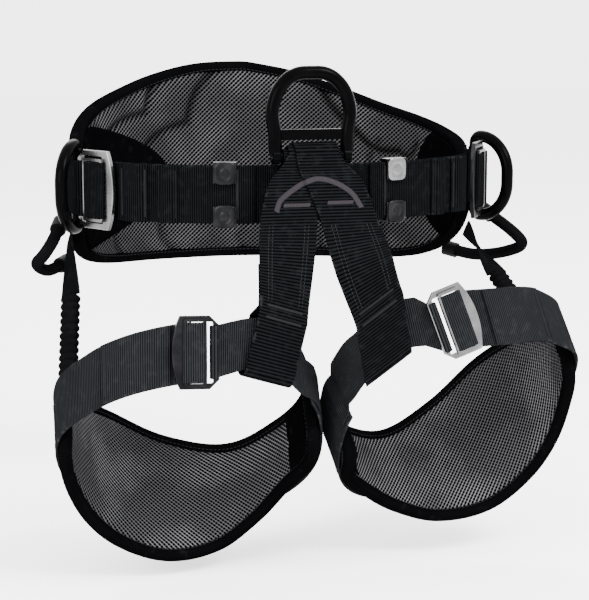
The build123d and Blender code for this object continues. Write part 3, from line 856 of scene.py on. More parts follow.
# ---------------------------------------------------------------- pads
@dataclass
class PadSheet:
    """A padded panel between two edges that vary along it, on a family of stations."""

    station: Callable[[float], Station]
    edges: Callable[[float], tuple[float, float]]
    start: float
    end: float
    inner: float
    outer: float
    binding: float = 9.0
    corner: int = 9
    radius: float = 105.0
    pucker_pitch: float = 5.1
    groove_depth: float = 3.4
    relief: Callable[[float, float], float] = lambda along, across: 0.0

    def outline(self) -> list[tuple[float, float]]:
        """Rounded outline as (angle, across) pairs, evenly spaced and closed."""
        raw = []
        angles = spread(self.start, self.end, 0.6)
        raw += [(a, self.edges(a)[1]) for a in angles]
        low, high = self.edges(self.end)
        raw += [(self.end, high + (low - high) * t) for t in spread(0, 1, 0.02)[1:-1]]
        raw += [(a, self.edges(a)[0]) for a in reversed(angles)]
        low, high = self.edges(self.start)
        raw += [(self.start, low + (high - low) * t) for t in spread(0, 1, 0.02)[1:-1]]
        places = [self.station(a).at(0, w) for a, w in raw]
        far = travelled(places + [places[0]])
        count = int(far[-1] / 2.2)
        even = []
        i = 0
        for n in range(count):
            place = far[-1] * n / count
            while far[i + 1] < place:
                i += 1
            t = (place - far[i]) / max(far[i + 1] - far[i], 1e-9)
            a, b = raw[i], raw[(i + 1) % len(raw)]
            even.append((a[0] + (b[0] - a[0]) * t, a[1] + (b[1] - a[1]) * t))
        for _ in range(self.corner):
            even = [((even[k - 1][0] + 2 * even[k][0] + even[(k + 1) % count][0]) / 4,
                     (even[k - 1][1] + 2 * even[k][1] + even[(k + 1) % count][1]) / 4)
                    for k in range(count)]
        return even

    def rim(self, name: str, material: bpy.types.Material, proud: float) -> bpy.types.Object:
        """Bound edge: folded tape with a soft round outside.

        Args:
            name: the object's name.
            material: its finish.
            proud: how far the tape stands above each face of the pad.

        Returns:
            The new object.
        """
        border = self.border()
        far = travelled([spot for spot, _, _ in border])
        middle = (self.inner + self.outer) / 2
        thick = (self.outer - self.inner) / 2 + proud
        rings = []
        for (spot, inward, out), reach in zip(border, far):
            pucker = 0.25 * math.sin(reach * 2 * math.pi / self.pucker_pitch)
            ring = []
            for m in range(16):
                t = 2 * math.pi * m / 16
                flat, tall = squared(math.cos(t), 0.72), squared(math.sin(t), 0.62)
                taper = 1 - 0.1 * (1 - flat) / 2
                height = middle + tall * (thick * taper + pucker * (1 - abs(math.cos(t))))
                ring.append(spot + inward * (self.binding * (1 - flat) / 2) + out * height)
            rings.append(ring)
        across = [self.binding * m / 16 for m in range(16)]
        return swept(name, rings, far, across, material, closed=True)

    def inward_sign(self) -> float:
        """Whether out cross the outline's direction points into the pad (1) or away (-1)."""
        here, ahead = self.station(self.start + 20), self.station(self.start + 21)
        way = ahead.point - here.point
        return 1.0 if here.out.cross(way).dot(here.wide) < 0 else -1.0

    def border(self) -> list[tuple[Vector, Vector, Vector]]:
        """Outline in the saddle's frame: each point with its inward and outward directions."""
        line = self.outline()
        count = len(line)
        places = [self.station(a).at(0, w) for a, w in line]
        turn = self.inward_sign()
        found = []
        for k in range(count):
            out = self.station(line[k][0]).out
            way = (places[(k + 1) % count] - places[k - 1]).normalized()
            found.append((places[k], out.cross(way).normalized() * turn, out))
        return found

    def rim_line(self, out: float, inset: float) -> list[tuple[Vector, Vector]]:
        """Stitch line along the binding, a little in from the edge."""
        border = self.border()
        sign = 1 if out > 0 else -1
        return [(spot + inward * inset + away * out, away * sign)
                for spot, inward, away in border + border[:1]]

    def face(self, name: str, material: bpy.types.Material, inside: bool,
             crown: float) -> bpy.types.Object:
        """Padded half of the panel: a crowned face closed at the pad's middle.

        Args:
            name: the object's name.
            material: its finish.
            inside: whether this is the half next to the wearer.
            crown: how far the face stands above its edges.

        Returns:
            The new object.
        """
        near = self.inner if inside else self.outer
        middle = (self.inner + self.outer) / 2
        sign = -1.0 if inside else 1.0
        columns = 64
        margin = self.binding * 0.7
        inset = math.degrees(margin / self.radius)
        angles = spread(self.start + inset, self.end - inset, 1.0)
        points: list[Vector] = []
        cloth: list[tuple[float, ...]] = []
        base = [self.station(a) for a in angles]
        length = travelled([s.point for s in base])
        for level in (1, 0):
            for i, a in enumerate(angles):
                low, high = self.edges(a)
                low += margin
                high -= margin
                for j in range(columns + 1):
                    t = j / columns
                    across = low + (high - low) * t
                    room = min(t * (high - low), (1 - t) * (high - low),
                               length[i] + 1, length[-1] - length[i] + 1)
                    rise = crown * ease(room / 22) - 1.6 * (1 - ease(room / 7))
                    dip = self.relief(a, across) if inside else 0.0
                    out = near + sign * (rise - self.groove_depth * dip) if level else middle
                    points.append(base[i].at(out, across))
                    # The pressed share also goes to the material, which paints shade into the
                    # grooves.
                    cloth.append((length[i], across, dip))
        faces = shell_faces(len(angles), columns + 1)
        return piece(name, points, faces, cloth, material)


@dataclass
class WaistPad:
    """The belt's pad: mesh towards the wearer, cloth outside, a bound edge and end patches."""

    oval: WaistOval
    top: Table = ((0, 92), (15, 87), (30, 76), (45, 63), (60, 52), (75, 39), (84, 28), (88, 14))
    bottom: Table = ((0, -81), (30, -81), (55, -78), (70, -68), (82, -50), (88, -34))
    top_skew: float = 8.0
    bottom_skew: float = 2.0
    end: float = 88.0
    inner: float = -4.0
    outer: float = 7.0
    degree: float = 2.4
    groove_width: float = 3.2
    groove_bow: float = 7.0
    grooves: tuple[tuple[float, float, float, float, float], ...] = (
        (22, 88, 36, 30, 1.0), (36, 30, 52, 14, 1.0), (36, 30, 33, -18, 0.8),
        (52, 14, 60, 20, 0.8), (44, 22, 42, -22, 0.7), (-8, 88, -20, 40, 0.9),
        (-20, 40, -40, 8, 0.9), (-24, 84, -36, 50, 0.9), (-36, 50, -62, 20, 0.9),
        (30, -40, 24, -72, 0.7), (-30, -40, -24, -72, 0.7), (50, -38, 47, -70, 0.6),
        (-50, -38, -47, -70, 0.6), (0, -50, 0, -76, 0.5))

    def edges(self, back: float) -> tuple[float, float]:
        """Lower and upper edge height at an angle from the middle of the back."""
        wave = math.sin(1.9 * math.radians(back))
        return (smooth(self.bottom, abs(back)) - self.bottom_skew * wave,
                smooth(self.top, abs(back)) - self.top_skew * wave)

    def relief(self, back: float, height: float) -> float:
        """Share of the groove depth that is pressed in at a place on the inner face."""
        depth = 0.0
        for a0, z0, a1, z1, weight in self.grooves:
            px, py = (back - a0) * self.degree, height - z0
            dx, dy = (a1 - a0) * self.degree, z1 - z0
            t = min(max((px * dx + py * dy) / (dx * dx + dy * dy), 0.0), 1.0)
            bow = self.groove_bow * math.sin(math.pi * t)
            length = math.hypot(dx, dy)
            gap = math.hypot(px - dx * t - bow * dy / length, py - dy * t + bow * dx / length)
            depth = max(depth, weight * bump(gap, self.groove_width))
        return depth

    def build(self, looks: Finishes) -> None:
        """Build and place the pad's pieces."""
        sheet = PadSheet(lambda b: self.oval.station(180 - b), self.edges, -self.end, self.end,
                         self.inner, self.outer, relief=self.relief)
        liner = sheet.face("waist_pad_mesh", looks.mesh, True, 2.2)
        place(liner, "belt", "spacer_mesh", "waist_mesh_liner", "waist_foam")
        shell = sheet.face("waist_pad_shell", looks.shell, False, 0.6)
        place(shell, "belt", "shell_fabric", "waist_outer_shell")
        rim = sheet.rim("waist_pad_binding", looks.tape, 0.8)
        place(rim, "belt", "binding", "waist_binding")
        row = StitchRow(3.6, 2.6, 0.36)
        strokes = row.strokes(sheet.rim_line(self.inner - 0.9, 6.6))
        strokes += row.strokes(sheet.rim_line(self.outer + 0.9, 6.6))
        place(sewn("waist_pad_stitching", strokes, row.length, row.thick, looks.black_thread),
              "belt", "binding")
        self.patches(looks)

    def patches(self, looks: Finishes) -> None:
        """Rounded cloth patches inside both ends of the pad."""
        for n, (side, tip) in enumerate(((-1, 27.0), (1, 60.0))):
            points: list[Vector] = []
            cloth: list[tuple[float, float]] = []
            angles = spread(tip, 85, 1.5)
            rows = 29
            for level in (0, 1):
                for a in angles:
                    low, high = self.edges(side * a)
                    round_end = math.sqrt(max(1 - ((85 - a) / (85 - tip)) ** 2, 0.0004))
                    under = max(low + 6.5, -5 - 56 * round_end)
                    over = min(high - 6.5, -5 + 50 * round_end)
                    here = self.oval.station(180 - side * a)
                    for j in range(rows):
                        across = under + (over - under) * j / (rows - 1)
                        points.append(here.at(self.inner - 2.9 + 1.8 * level, across))
                        cloth.append((a * self.degree, across))
            faces = shell_faces(len(angles), rows)
            patch = piece(f"waist_end_patch_{n + 1}", points, faces, cloth, looks.cloth)
            replaced = ("waist_end_patches",) if n == 0 else ()
            place(patch, "belt", "shell_fabric", *replaced)


# ---------------------------------------------------------------- belt webbing
@dataclass(frozen=True)
class BuckleSize:
    """Sizes of one kind of buckle, in its own axes."""

    length: float
    plate: float
    wrap: float
    bar: float = 4.6
    thick: float = 3.2

    def bar_loop(self, axes: Place, wide: Vector) -> list[Station]:
        """Stations of webbing that turns round the fixed bar."""
        centre = axes.at((self.length - self.bar) / 2, 0, self.thick / 2)
        return turn_round(centre, 3.3, 75, 270, wide, axes.x, axes.z)


WAIST_BUCKLE = BuckleSize(42.0, 12.0, 18.0)
LEG_BUCKLE = BuckleSize(35.0, 10.5, 12.0)


@dataclass
class Belt:
    """Webbing of the belt: back, front straps, tails, tool loops and side tabs."""

    oval: WaistOval
    half: float = 22.5
    ply: float = 2.3
    strap: tuple[float, float] = (9.0, 63.5)
    tail: tuple[float, float] = (16.0, 58.5)
    slots: tuple[tuple[float, float], ...] = ((37.5, 43.5), (47.0, 56.5))
    rise: float = 3.0
    back_out: float = 8.1
    d_angle: float = 82.5
    d_offset: float = 5.0
    d_wire: float = 5.0
    buckle_angle: float = 67.0
    buckle_out: float = 6.0

    def buckle_place(self, side: Side) -> Place:
        """Axes of the buckle on one side."""
        here = self.oval.station(side.value * self.buckle_angle).moved(self.buckle_out)
        ahead = self.oval.station(side.value * (self.buckle_angle + 5)).point
        return Place.on(here, ahead - here.point)

    def build(self, looks: Finishes) -> None:
        """Build and place the belt's webbing."""
        back = Ribbon(self.oval.run(98, 262), self.back_out, self.back_out + 2.0, self.half)
        place(back.make("back_webbing", looks.webbing), "belt", "webbing", "waist_back_webbing")
        threads: list[tuple[Vector, Vector, Vector]] = []
        row = StitchRow(3.2, 2.4, 0.36)
        for line in (-17.5, 17.5):
            threads += row.strokes(strap_line(back.stations, line, self.back_out + 2.0))
        for side in Side:
            threads += self.front(side, looks)
            self.side_tab(side, looks)
        place(sewn("belt_stitching", threads, row.length, row.thick, looks.black_thread),
              "belt", "webbing")

    def front(self, side: Side, looks: Finishes) -> list[tuple[Vector, Vector, Vector]]:
        """Strap, tail and tool loops of one side.

        Args:
            side: which side.
            looks: the finishes.

        Returns:
            Threads that sew the tool loops down.
        """
        s = side.value
        tag = side.tag
        strap = Ribbon(self.oval.run(s * self.strap[0], s * self.strap[1]), 0.0, 2.0, self.half)
        place(strap.make(f"belt_strap_{tag}", looks.webbing), "belt", "webbing", f"waist_strap_{tag}")
        angles = spread(s * self.tail[0], s * self.tail[1], 0.8)
        hem = [0.9 if abs(a) < self.tail[0] + 5.5 else 0.0 for a in angles]
        tail = Ribbon([self.oval.station(a) for a in angles], self.ply, self.ply + 2.0, self.half,
                      lift=[h * 0.6 for h in hem])
        place(tail.make(f"belt_tail_{tag}", looks.webbing), "belt", "webbing",
              f"waist_strap_tail_{tag}")
        threads = []
        hem_place = self.oval.station(s * (self.tail[0] + 4.6))
        along = hem_place.out.cross(hem_place.wide)
        threads += bar_tack(hem_place, along, 19, self.ply + 2.7, 2.2)
        for n, (start, end) in enumerate(self.slots):
            middle = s * (start + end) / 2
            reach = (end - start) / 2
            steps = spread(s * start, s * end, 0.3)
            lift = [self.rise * ease(1.6 * (1 - abs(a - middle) / reach)) for a in steps]
            stations = [self.oval.station(a) for a in steps]
            low = 2 * self.ply
            loop = Ribbon(stations, low, low + 2.0, self.half, lift=lift)
            replaced = (f"tool_slot_loops_{tag}",) if n == 0 else ()
            place(loop.make(f"tool_loop_{n + 1}_{tag}", looks.webbing), "belt", "webbing", *replaced)
            for edge in (start + 0.7, end - 0.7):
                tack = self.oval.station(s * edge)
                threads += bar_tack(tack, tack.out.cross(tack.wide), 18, low + 2.3, 2.4)
        return threads

    def side_tab(self, side: Side, looks: Finishes) -> None:
        """Doubled tab that holds a side ring and turns round the buckle's fixed bar."""
        s = side.value
        outside = self.d_offset + self.d_wire + 0.3
        inside = self.d_offset - self.d_wire - 0.3
        stations = []
        for a in spread(95.5, self.d_angle - 1.5, 1.0):
            lift = ease((95.5 - a) / 8.5)
            stations.append(self.oval.station(s * a).moved(self.back_out
                                                           + (outside - self.back_out) * lift))
        stations += WAIST_BUCKLE.bar_loop(self.buckle_place(side), Vector((0, 0, 1)))
        for a in spread(self.d_angle - 1.5, 89.0, 1.0):
            here = self.oval.station(s * a)
            stations.append(Station(here.at(inside, 0), -here.out, here.wide))
        tab = Ribbon(refined(stations, 2.5), 0.0, 1.6, 22.0)
        made = tab.make(f"side_tab_{side.tag}", looks.webbing)
        place(made, "belt", "webbing", f"side_ring_tab_{side.tag}")
        threads = []
        for a in (93.0, 91.2, 77.2):
            here = self.oval.station(s * a)
            out = self.back_out + 2.3 if a > 90 else outside + 1.5
            threads += bar_tack(here, here.out.cross(here.wide), 17, out, 2.4)
        place(sewn(f"side_tab_tacks_{side.tag}", threads, 2.4, 0.4, looks.black_thread),
              "belt", "webbing")


@dataclass
class BuckleDress:
    """Metal finishes of one kind of buckle and the strap rolled over its slider."""

    kind: str
    size: BuckleSize
    place_of: Callable[[Side], Place]
    # Side whose buckle gets the bright steel as painted light; the other side gets the darkened copy
    # as painted shade.
    catches_light: Side
    half: float = 22.2

    def build(self, looks: Finishes) -> None:
        """Dress the frames and sliders and build the rolled webbing."""
        for side in Side:
            tag = side.tag
            # Painted light and shade: the buckle on the side that catches the light gets the bright
            # steel, the other the darkened copy of the same steel.
            metal = looks.steel if side is self.catches_light else looks.shaded_steel
            dress(f"{self.kind}_buckle_frame_{tag}", metal)
            dress(f"{self.kind}_buckle_slider_{tag}", metal)
            self.roll(side, looks)

    def roll(self, side: Side, looks: Finishes) -> None:
        """Webbing that comes up through the slider, over it and down again."""
        axes = self.place_of(side)
        size = self.size
        middle = size.plate - size.length / 2 + 0.4 + size.wrap / 2
        reach = size.wrap / 2 + 3.1
        crest = size.thick + 3.0
        path = [(-reach, size.thick + 0.4), (-reach, crest - 0.5), (-reach + 1.0, crest + 0.3),
                (0.0, crest + 0.8), (reach - 1.8, crest), (reach - 0.2, crest - 1.4),
                (reach, 3.0), (reach - 0.8, 0.6), (reach - 3.0, -0.4)]
        soft = softened([axes.at(middle + x, 0, z) for x, z in path], 5, 3)
        stations = [Station(spot, -heading(soft, k).cross(axes.y), axes.y)
                    for k, spot in enumerate(soft)]
        ribbon = Ribbon(stations, 0.0, 1.7, self.half)
        # The leg buckles' rolls take the brighter copy of the webbing, with its painted light.
        cloth = looks.webbing if self.kind == "waist" else looks.leg_webbing
        made = ribbon.make(f"{self.kind}_strap_roll_{side.tag}", cloth)
        place(made, f"{self.kind}_slider_{side.tag}", "webbing",
              f"{self.kind}_buckle_wrap_{side.tag}")


@dataclass
class Hardware:
    """Rings, bar, screws, keepers and gear loops."""

    wire: float = 5.0
    left: tuple[tuple[float, float, float], ...] = (
        (-181, -3, -31), (-190, -23, -43), (-199, -30, -54), (-203, -12, -62),
        (-197, 13, -70), (-186, 38, -77), (-169, 57, -72))
    right: tuple[tuple[float, float, float], ...] = (
        (181, -3, -31), (196, -23, -44), (208, -30, -56), (212, -12, -64),
        (203, 13, -72), (189, 38, -77), (169, 57, -72))

    def build(self, looks: Finishes) -> None:
        """Dress the metalwork and build the covered gear loops."""
        for node in ("ventral_ring", "ventral_ring_bar"):
            dress(node, looks.black_metal)
        dress("ventral_ring_screws", looks.shaded_steel)
        dress("gear_loop_ferrules", looks.moulding)
        for side in Side:
            dress(f"side_ring_{side.tag}", looks.black_metal)
            dress(f"strap_keeper_{side.tag}", looks.shaded_steel)
            for upper in (True, False):
                # Painted light: only the upper face of the right keeper gets the bright steel; the
                # other faces get the darkened copy as painted shade.
                catches_light = upper and side is Side.RIGHT
                self.keeper_face(side, upper, looks.steel if catches_light else looks.shaded_steel)
            self.gear_loop(side, looks)

    def keeper_face(self, side: Side, upper: bool, material: bpy.types.Material) -> None:
        """Rounded raised face with a plain round mark on one tab of a keeper."""
        here = WaistOval().station(side.value * 24.0)
        sign = 1 if upper else -1
        axes = Place.on(here.moved(6.85, sign * 16.6), here.out.cross(here.wide))
        rings = []
        for grow, z in ((0.0, 0.0), (0.0, 0.55), (-0.5, 0.85), (-3.6, 0.95), (-4.0, 0.75),
                        (-4.6, 0.75), (-5.0, 0.95), (-6.6, 1.0)):
            ring = []
            for m in range(40):
                a = 2 * math.pi * m / 40
                power = 0.5 if grow > -3 else 1.0
                ring.append(axes.at(squared(math.cos(a), power) * (8.3 + grow),
                                    squared(math.sin(a), power) * (8.8 + grow), z))
            rings.append(ring)
        name = f"keeper_face_{'upper' if upper else 'lower'}_{side.tag}"
        made = swept(name, rings, [0.0] * len(rings), [0.0] * 40, material)
        place(made, f"keeper_{side.tag}", "keeper_metal")

    def gear_loop(self, side: Side, looks: Finishes) -> None:
        """Stiff loop in a woven cover, with the soft bends of a bent tube."""
        corners = [Vector(p) for p in (self.left if side is Side.LEFT else self.right)]
        path = softened(corners, 12, 26)
        far = travelled(path)
        rings = []
        count = 18
        up = Vector((0, 0, 1))
        for k, point in enumerate(path):
            way = heading(path, k)
            beside = way.cross(up).normalized()
            above = beside.cross(way)
            ring = []
            for m in range(count):
                a = 2 * math.pi * m / count
                ring.append(point + (beside * math.cos(a) + above * math.sin(a)) * self.wire)
            rings.append(ring)
        across = [2 * math.pi * self.wire * m / count for m in range(count)]
        made = swept(f"gear_loop_cover_{side.tag}", rings, far, across, looks.cover)
        place(made, "belt", "gear_tube", f"gear_loop_{side.tag}")


# ---------------------------------------------------------------- front webbing
@dataclass
class LegOval:
    """Oval that one leg loop follows."""

    side: Side
    centre: tuple[float, float, float]
    roll: float
    half_width: float
    lift: float
    buckle_angle: float
    foot_angle: float
    half_depth: float = 86.0
    tilt: float = 45.0
    cone: Table = ((-60, 50), (-53, 24), (-46, 0), (-28, -6), (0, 5), (90, 25), (180, 43),
                   (270, 25), (288, 32), (300, 50))
    strap_mid: Table = ((-60, -12), (-28, -19), (0, -9), (90, -8), (130, 0), (180, 10), (230, 8),
                        (270, 2), (300, -12))

    @staticmethod
    def from_front(angle: float) -> float:
        """The same place, counted backwards from the front on the inner side."""
        return angle if angle <= 300 else angle - 360

    def axes(self) -> tuple[Vector, Vector]:
        """Sideways and forward-up directions."""
        roll = math.radians(self.roll)
        tilt = math.radians(self.tilt)
        lateral = Vector((self.side.value * math.cos(roll), 0, math.sin(roll)))
        forward = Vector((0, -math.cos(tilt), math.sin(tilt)))
        return lateral, (forward - lateral * forward.dot(lateral)).normalized()

    def station(self, angle: float) -> Station:
        """Place on the oval, angle in degrees from its front towards the outer side."""
        lateral, forward = self.axes()
        s = math.sin(math.radians(angle))
        c = math.cos(math.radians(angle))
        centre = Vector(self.centre)
        point = centre + forward * (self.half_depth * c) + lateral * (self.half_width * s)
        along = forward * (-self.half_depth * s) + lateral * (self.half_width * c)
        lean = math.radians(smooth(self.cone, self.from_front(angle)))
        wide = Vector((0, -math.sin(lean), -math.cos(lean)))
        wide = (wide - lateral * (0.8 * wide.dot(lateral))).normalized()
        out = along.cross(wide).normalized()
        if out.dot(point - centre) < 0:
            out = -out
        return Station(point, out, wide)

    def strap_middle(self, angle: float) -> float:
        """Widthwise place of the webbing's middle."""
        angle = self.from_front(angle)
        near = 1 - min(abs(angle + 30) / 60, 1)
        return smooth(self.strap_mid, angle) - self.lift * ease(near)

    def strap_out(self, angle: float) -> float:
        """Outward offset of the webbing: on the oval in front, over the pad behind."""
        if angle < 180:
            return 5.2 * ease((angle - 58) / 26)
        return 5.2 * ease((314 - angle) / 24)

    def strap_station(self, angle: float) -> Station:
        """Place in the middle of the webbing."""
        return self.station(angle).moved(self.strap_out(angle), self.strap_middle(angle))

    def buckle_place(self) -> Place:
        """Axes of this loop's buckle."""
        angle = self.buckle_angle
        middle = self.strap_middle(angle)
        here = self.station(angle).moved(5.0, middle)
        return Place.on(here, self.station(angle - 5).at(5.0, middle) - here.point)

    def lower_edge(self, angle: float) -> Vector:
        """Point just past the lower edge of the webbing under the riser."""
        return self.station(angle).at(0, self.strap_middle(angle) + 22.3)

    def foot(self) -> Station:
        """Place at the webbing's lower edge where the riser is looped."""
        angle = self.foot_angle
        here = self.station(angle)
        reach = self.side.value * 11.0
        across = (self.lower_edge(angle + reach) - self.lower_edge(angle - reach)).normalized()
        out = here.out - across * here.out.dot(across)
        return Station(self.lower_edge(angle), out, across)


@dataclass
class Yoke:
    """Front webbing: strips to the belt and both risers down to the leg loops."""

    oval: WaistOval
    legs: dict[Side, LegOval]
    bar: tuple[float, float, float] = (-4.0, -125.0, 30.0)
    bar_radius: float = 4.0
    ply: float = 2.3
    flex: float = -14.0
    lean: float = 17.0
    middle: float = -4.2
    apart: Table = ((-14, 22.7), (2, 17.5), (12, 13.5), (20, 8.0), (30, 2.4))
    half: Table = ((-14, 22.5), (14, 22.5), (22, 20), (30, 17))
    knee: float = 45.0
    behind: float = 6.5

    def point(self, side: Side, z: float) -> Vector:
        """Middle of a riser's upper end at a height."""
        ply = 0.0 if side is Side.LEFT else self.ply
        y = self.bar[1] - self.bar_radius - self.ply - 0.8 - ply
        y -= math.tan(math.radians(self.lean)) * (self.bar[2] - z)
        return Vector((self.middle + side.value * smooth(self.apart, z), y, z))

    def out(self) -> Vector:
        """Outward direction of the yoke."""
        lean = math.radians(self.lean)
        return Vector((0, -math.cos(lean), math.sin(lean)))

    def riser(self, side: Side) -> tuple[list[Station], list[float]]:
        """Stations and half widths of a whole riser, from behind the bar to its hem."""
        bar = Vector(self.bar)
        x = Vector((1, 0, 0))
        radius = self.bar_radius + self.ply + 0.3 + (0.0 if side is Side.LEFT else self.ply)
        centre = bar + x * (side.value * 2.4)
        stations = turn_round(centre, radius, -5, 180 - self.lean, x, Vector((0, 1, 0)),
                              Vector((0, 0, 1)), 8)
        halves = [17.0] * len(stations)
        for z in spread(24, self.flex + 0.7, 2.0):
            stations.append(Station(self.point(side, z), self.out(), x))
            halves.append(smooth(self.half, z))
        foot = self.legs[side].foot()
        top = self.point(side, self.flex - 0.7)
        rise = top - foot.point
        rise.y -= rise.dot(foot.out) / foot.out.y
        down = -rise.normalized()
        knee = foot.at(3.0, 0) - down * self.knee
        upper = []
        for t in spread(0, 1, 1 / 24):
            turn = ease(t)
            upper.append(Station(top.lerp(knee, t), self.out() * (1 - turn) + foot.out * turn,
                                 x * (1 - turn) + foot.wide * turn))
        upper += [Station(knee.lerp(foot.at(3.0, 0), t), foot.out, foot.wide)
                  for t in spread(0, 1, 1 / 16)[1:-1]]
        stations += upper
        centre = foot.at((3.0 - self.behind) / 2, 0)
        stations += turn_round(centre, (3.0 + self.behind) / 2, 0, 180, foot.wide, foot.out, down)
        behind = foot.at(-self.behind, 0) - down * (self.knee - 6)
        stations += refined([stations[-1], Station(behind, -foot.out, foot.wide)], 4.0)[1:]
        for lined in reversed(upper[12:24]):
            stations.append(Station(lined.at(-0.3, 0), -lined.out, lined.wide))
        halves += [22.5] * (len(stations) - len(halves))
        return stations, halves

    def build(self, looks: Finishes) -> None:
        """Build the strips, the risers and their stitching, and place the strips and the arch on the
        belt.
        """
        self.bridge(looks)
        for side in Side:
            tag = side.tag
            stations, halves = self.riser(side)
            made = Ribbon(stations, 0.0, 2.0, halves).make(f"riser_{tag}", looks.riser)
            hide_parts(f"yoke_webbing_{tag}", f"leg_riser_{tag}")
            middle = self.point(side, self.flex)
            self.bend(made)
            front = [s for s in stations if s.out.y < -0.5 and s.point.z < self.flex]
            threads = []
            row = StitchRow(3.0, 2.2, 0.4)
            for w in (-15.5, -12.5, 12.5, 15.5):
                threads += row.strokes(strap_line(front[2:22], w, 2.15))
            for k in (22, 25):
                threads += bar_tack(front[k], front[k + 1].point - front[k].point, 16, 2.3, 2.4)
            seam = sewn(f"riser_stitching_{tag}", threads, row.length, row.thick,
                        looks.black_thread)
            self.bend(seam)
        self.arch(looks)

    def bend(self, made: bpy.types.Object) -> None:
        """Bake a piece's placement into its mesh."""
        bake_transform(made)
        LOG.info("%s bends at the flex line", made.name)

    def arch(self, looks: Finishes) -> None:
        """Grey satin-stitched arch and two bar tacks that hold the risers together."""
        x = Vector((1, 0, 0))
        corner = ((-36.8, -10.5), (-34.0, -2.5), (-25.0, 4.0), (-14.0, 10.5), (-5.0, 13.6),
                  (4.0, 12.6), (14.0, 8.6), (23.5, 2.0), (29.6, -9.0))
        path = softened([Vector((px, 0, pz)) for px, pz in corner], 14, 22)
        up = self.out().cross(x)
        up = up if up.z > 0 else -up
        threads = []
        line = [(self.on_front(p), self.out()) for p in path]
        for middle, way, out in StitchRow(0.62).strokes(line):
            beside = out.cross(way).normalized()
            threads.append((middle, (beside + way * 0.25).normalized(), out))
        place(sewn("yoke_arch_stitching", threads, 4.6, 0.5, looks.grey_thread), "belt", "webbing")
        tacks = []
        for start, end, height in ((-30.5, -10.5, -6.0), (3.5, 23.0, -4.6)):
            for px in spread(start, end, 0.7):
                tacks.append((self.on_front(Vector((px, 0, height))),
                              (up + x * 0.35).normalized(), self.out()))
        place(sewn("yoke_bar_tacks", tacks, 3.4, 0.5, looks.grey_thread), "belt", "webbing")

    def on_front(self, p: Vector) -> Vector:
        """Point on the yoke's front face at a place seen from the front."""
        under, over = self.point(Side.LEFT, p.z), self.point(Side.RIGHT, p.z)
        edge = over.x - smooth(self.half, p.z)
        depth = under.y + (over.y - under.y) * ease((p.x - edge + 2.5) / 4)
        return Vector((p.x, depth, p.z)) + self.out() * 2.3

    def bridge(self, looks: Finishes) -> None:
        """Strips from the belt round the outer ends of the ring's bar."""
        bar = Vector(self.bar)
        x = Vector((1, 0, 0))
        face_y = -self.oval.half_depth - 4.2
        for n, sign in enumerate((-1, 1)):
            stations = turn_round(bar, self.bar_radius + 0.3, 195, 0, x, Vector((0, 1, 0)),
                                  Vector((0, 0, 1)))
            for z in (22, -21):
                stations.append(Station(Vector((bar.x, face_y, z)), Vector((0, 1, 0)), x))
            stations = [s.moved(0, sign * 20.0) for s in refined(stations)]
            strip = Ribbon(stations, 0.0, 1.4, 2.8)
            replaced = ("ventral_bridge_webbing",) if n == 0 else ()
            place(strip.make(f"bridge_strip_{n + 1}", looks.webbing), "belt", "webbing", *replaced)
        link = Ribbon(self.oval.run(-8.6, 8.6), 0.0, 2.0, 21.5)
        place(link.make("bridge_belt_link", looks.webbing), "belt", "webbing")


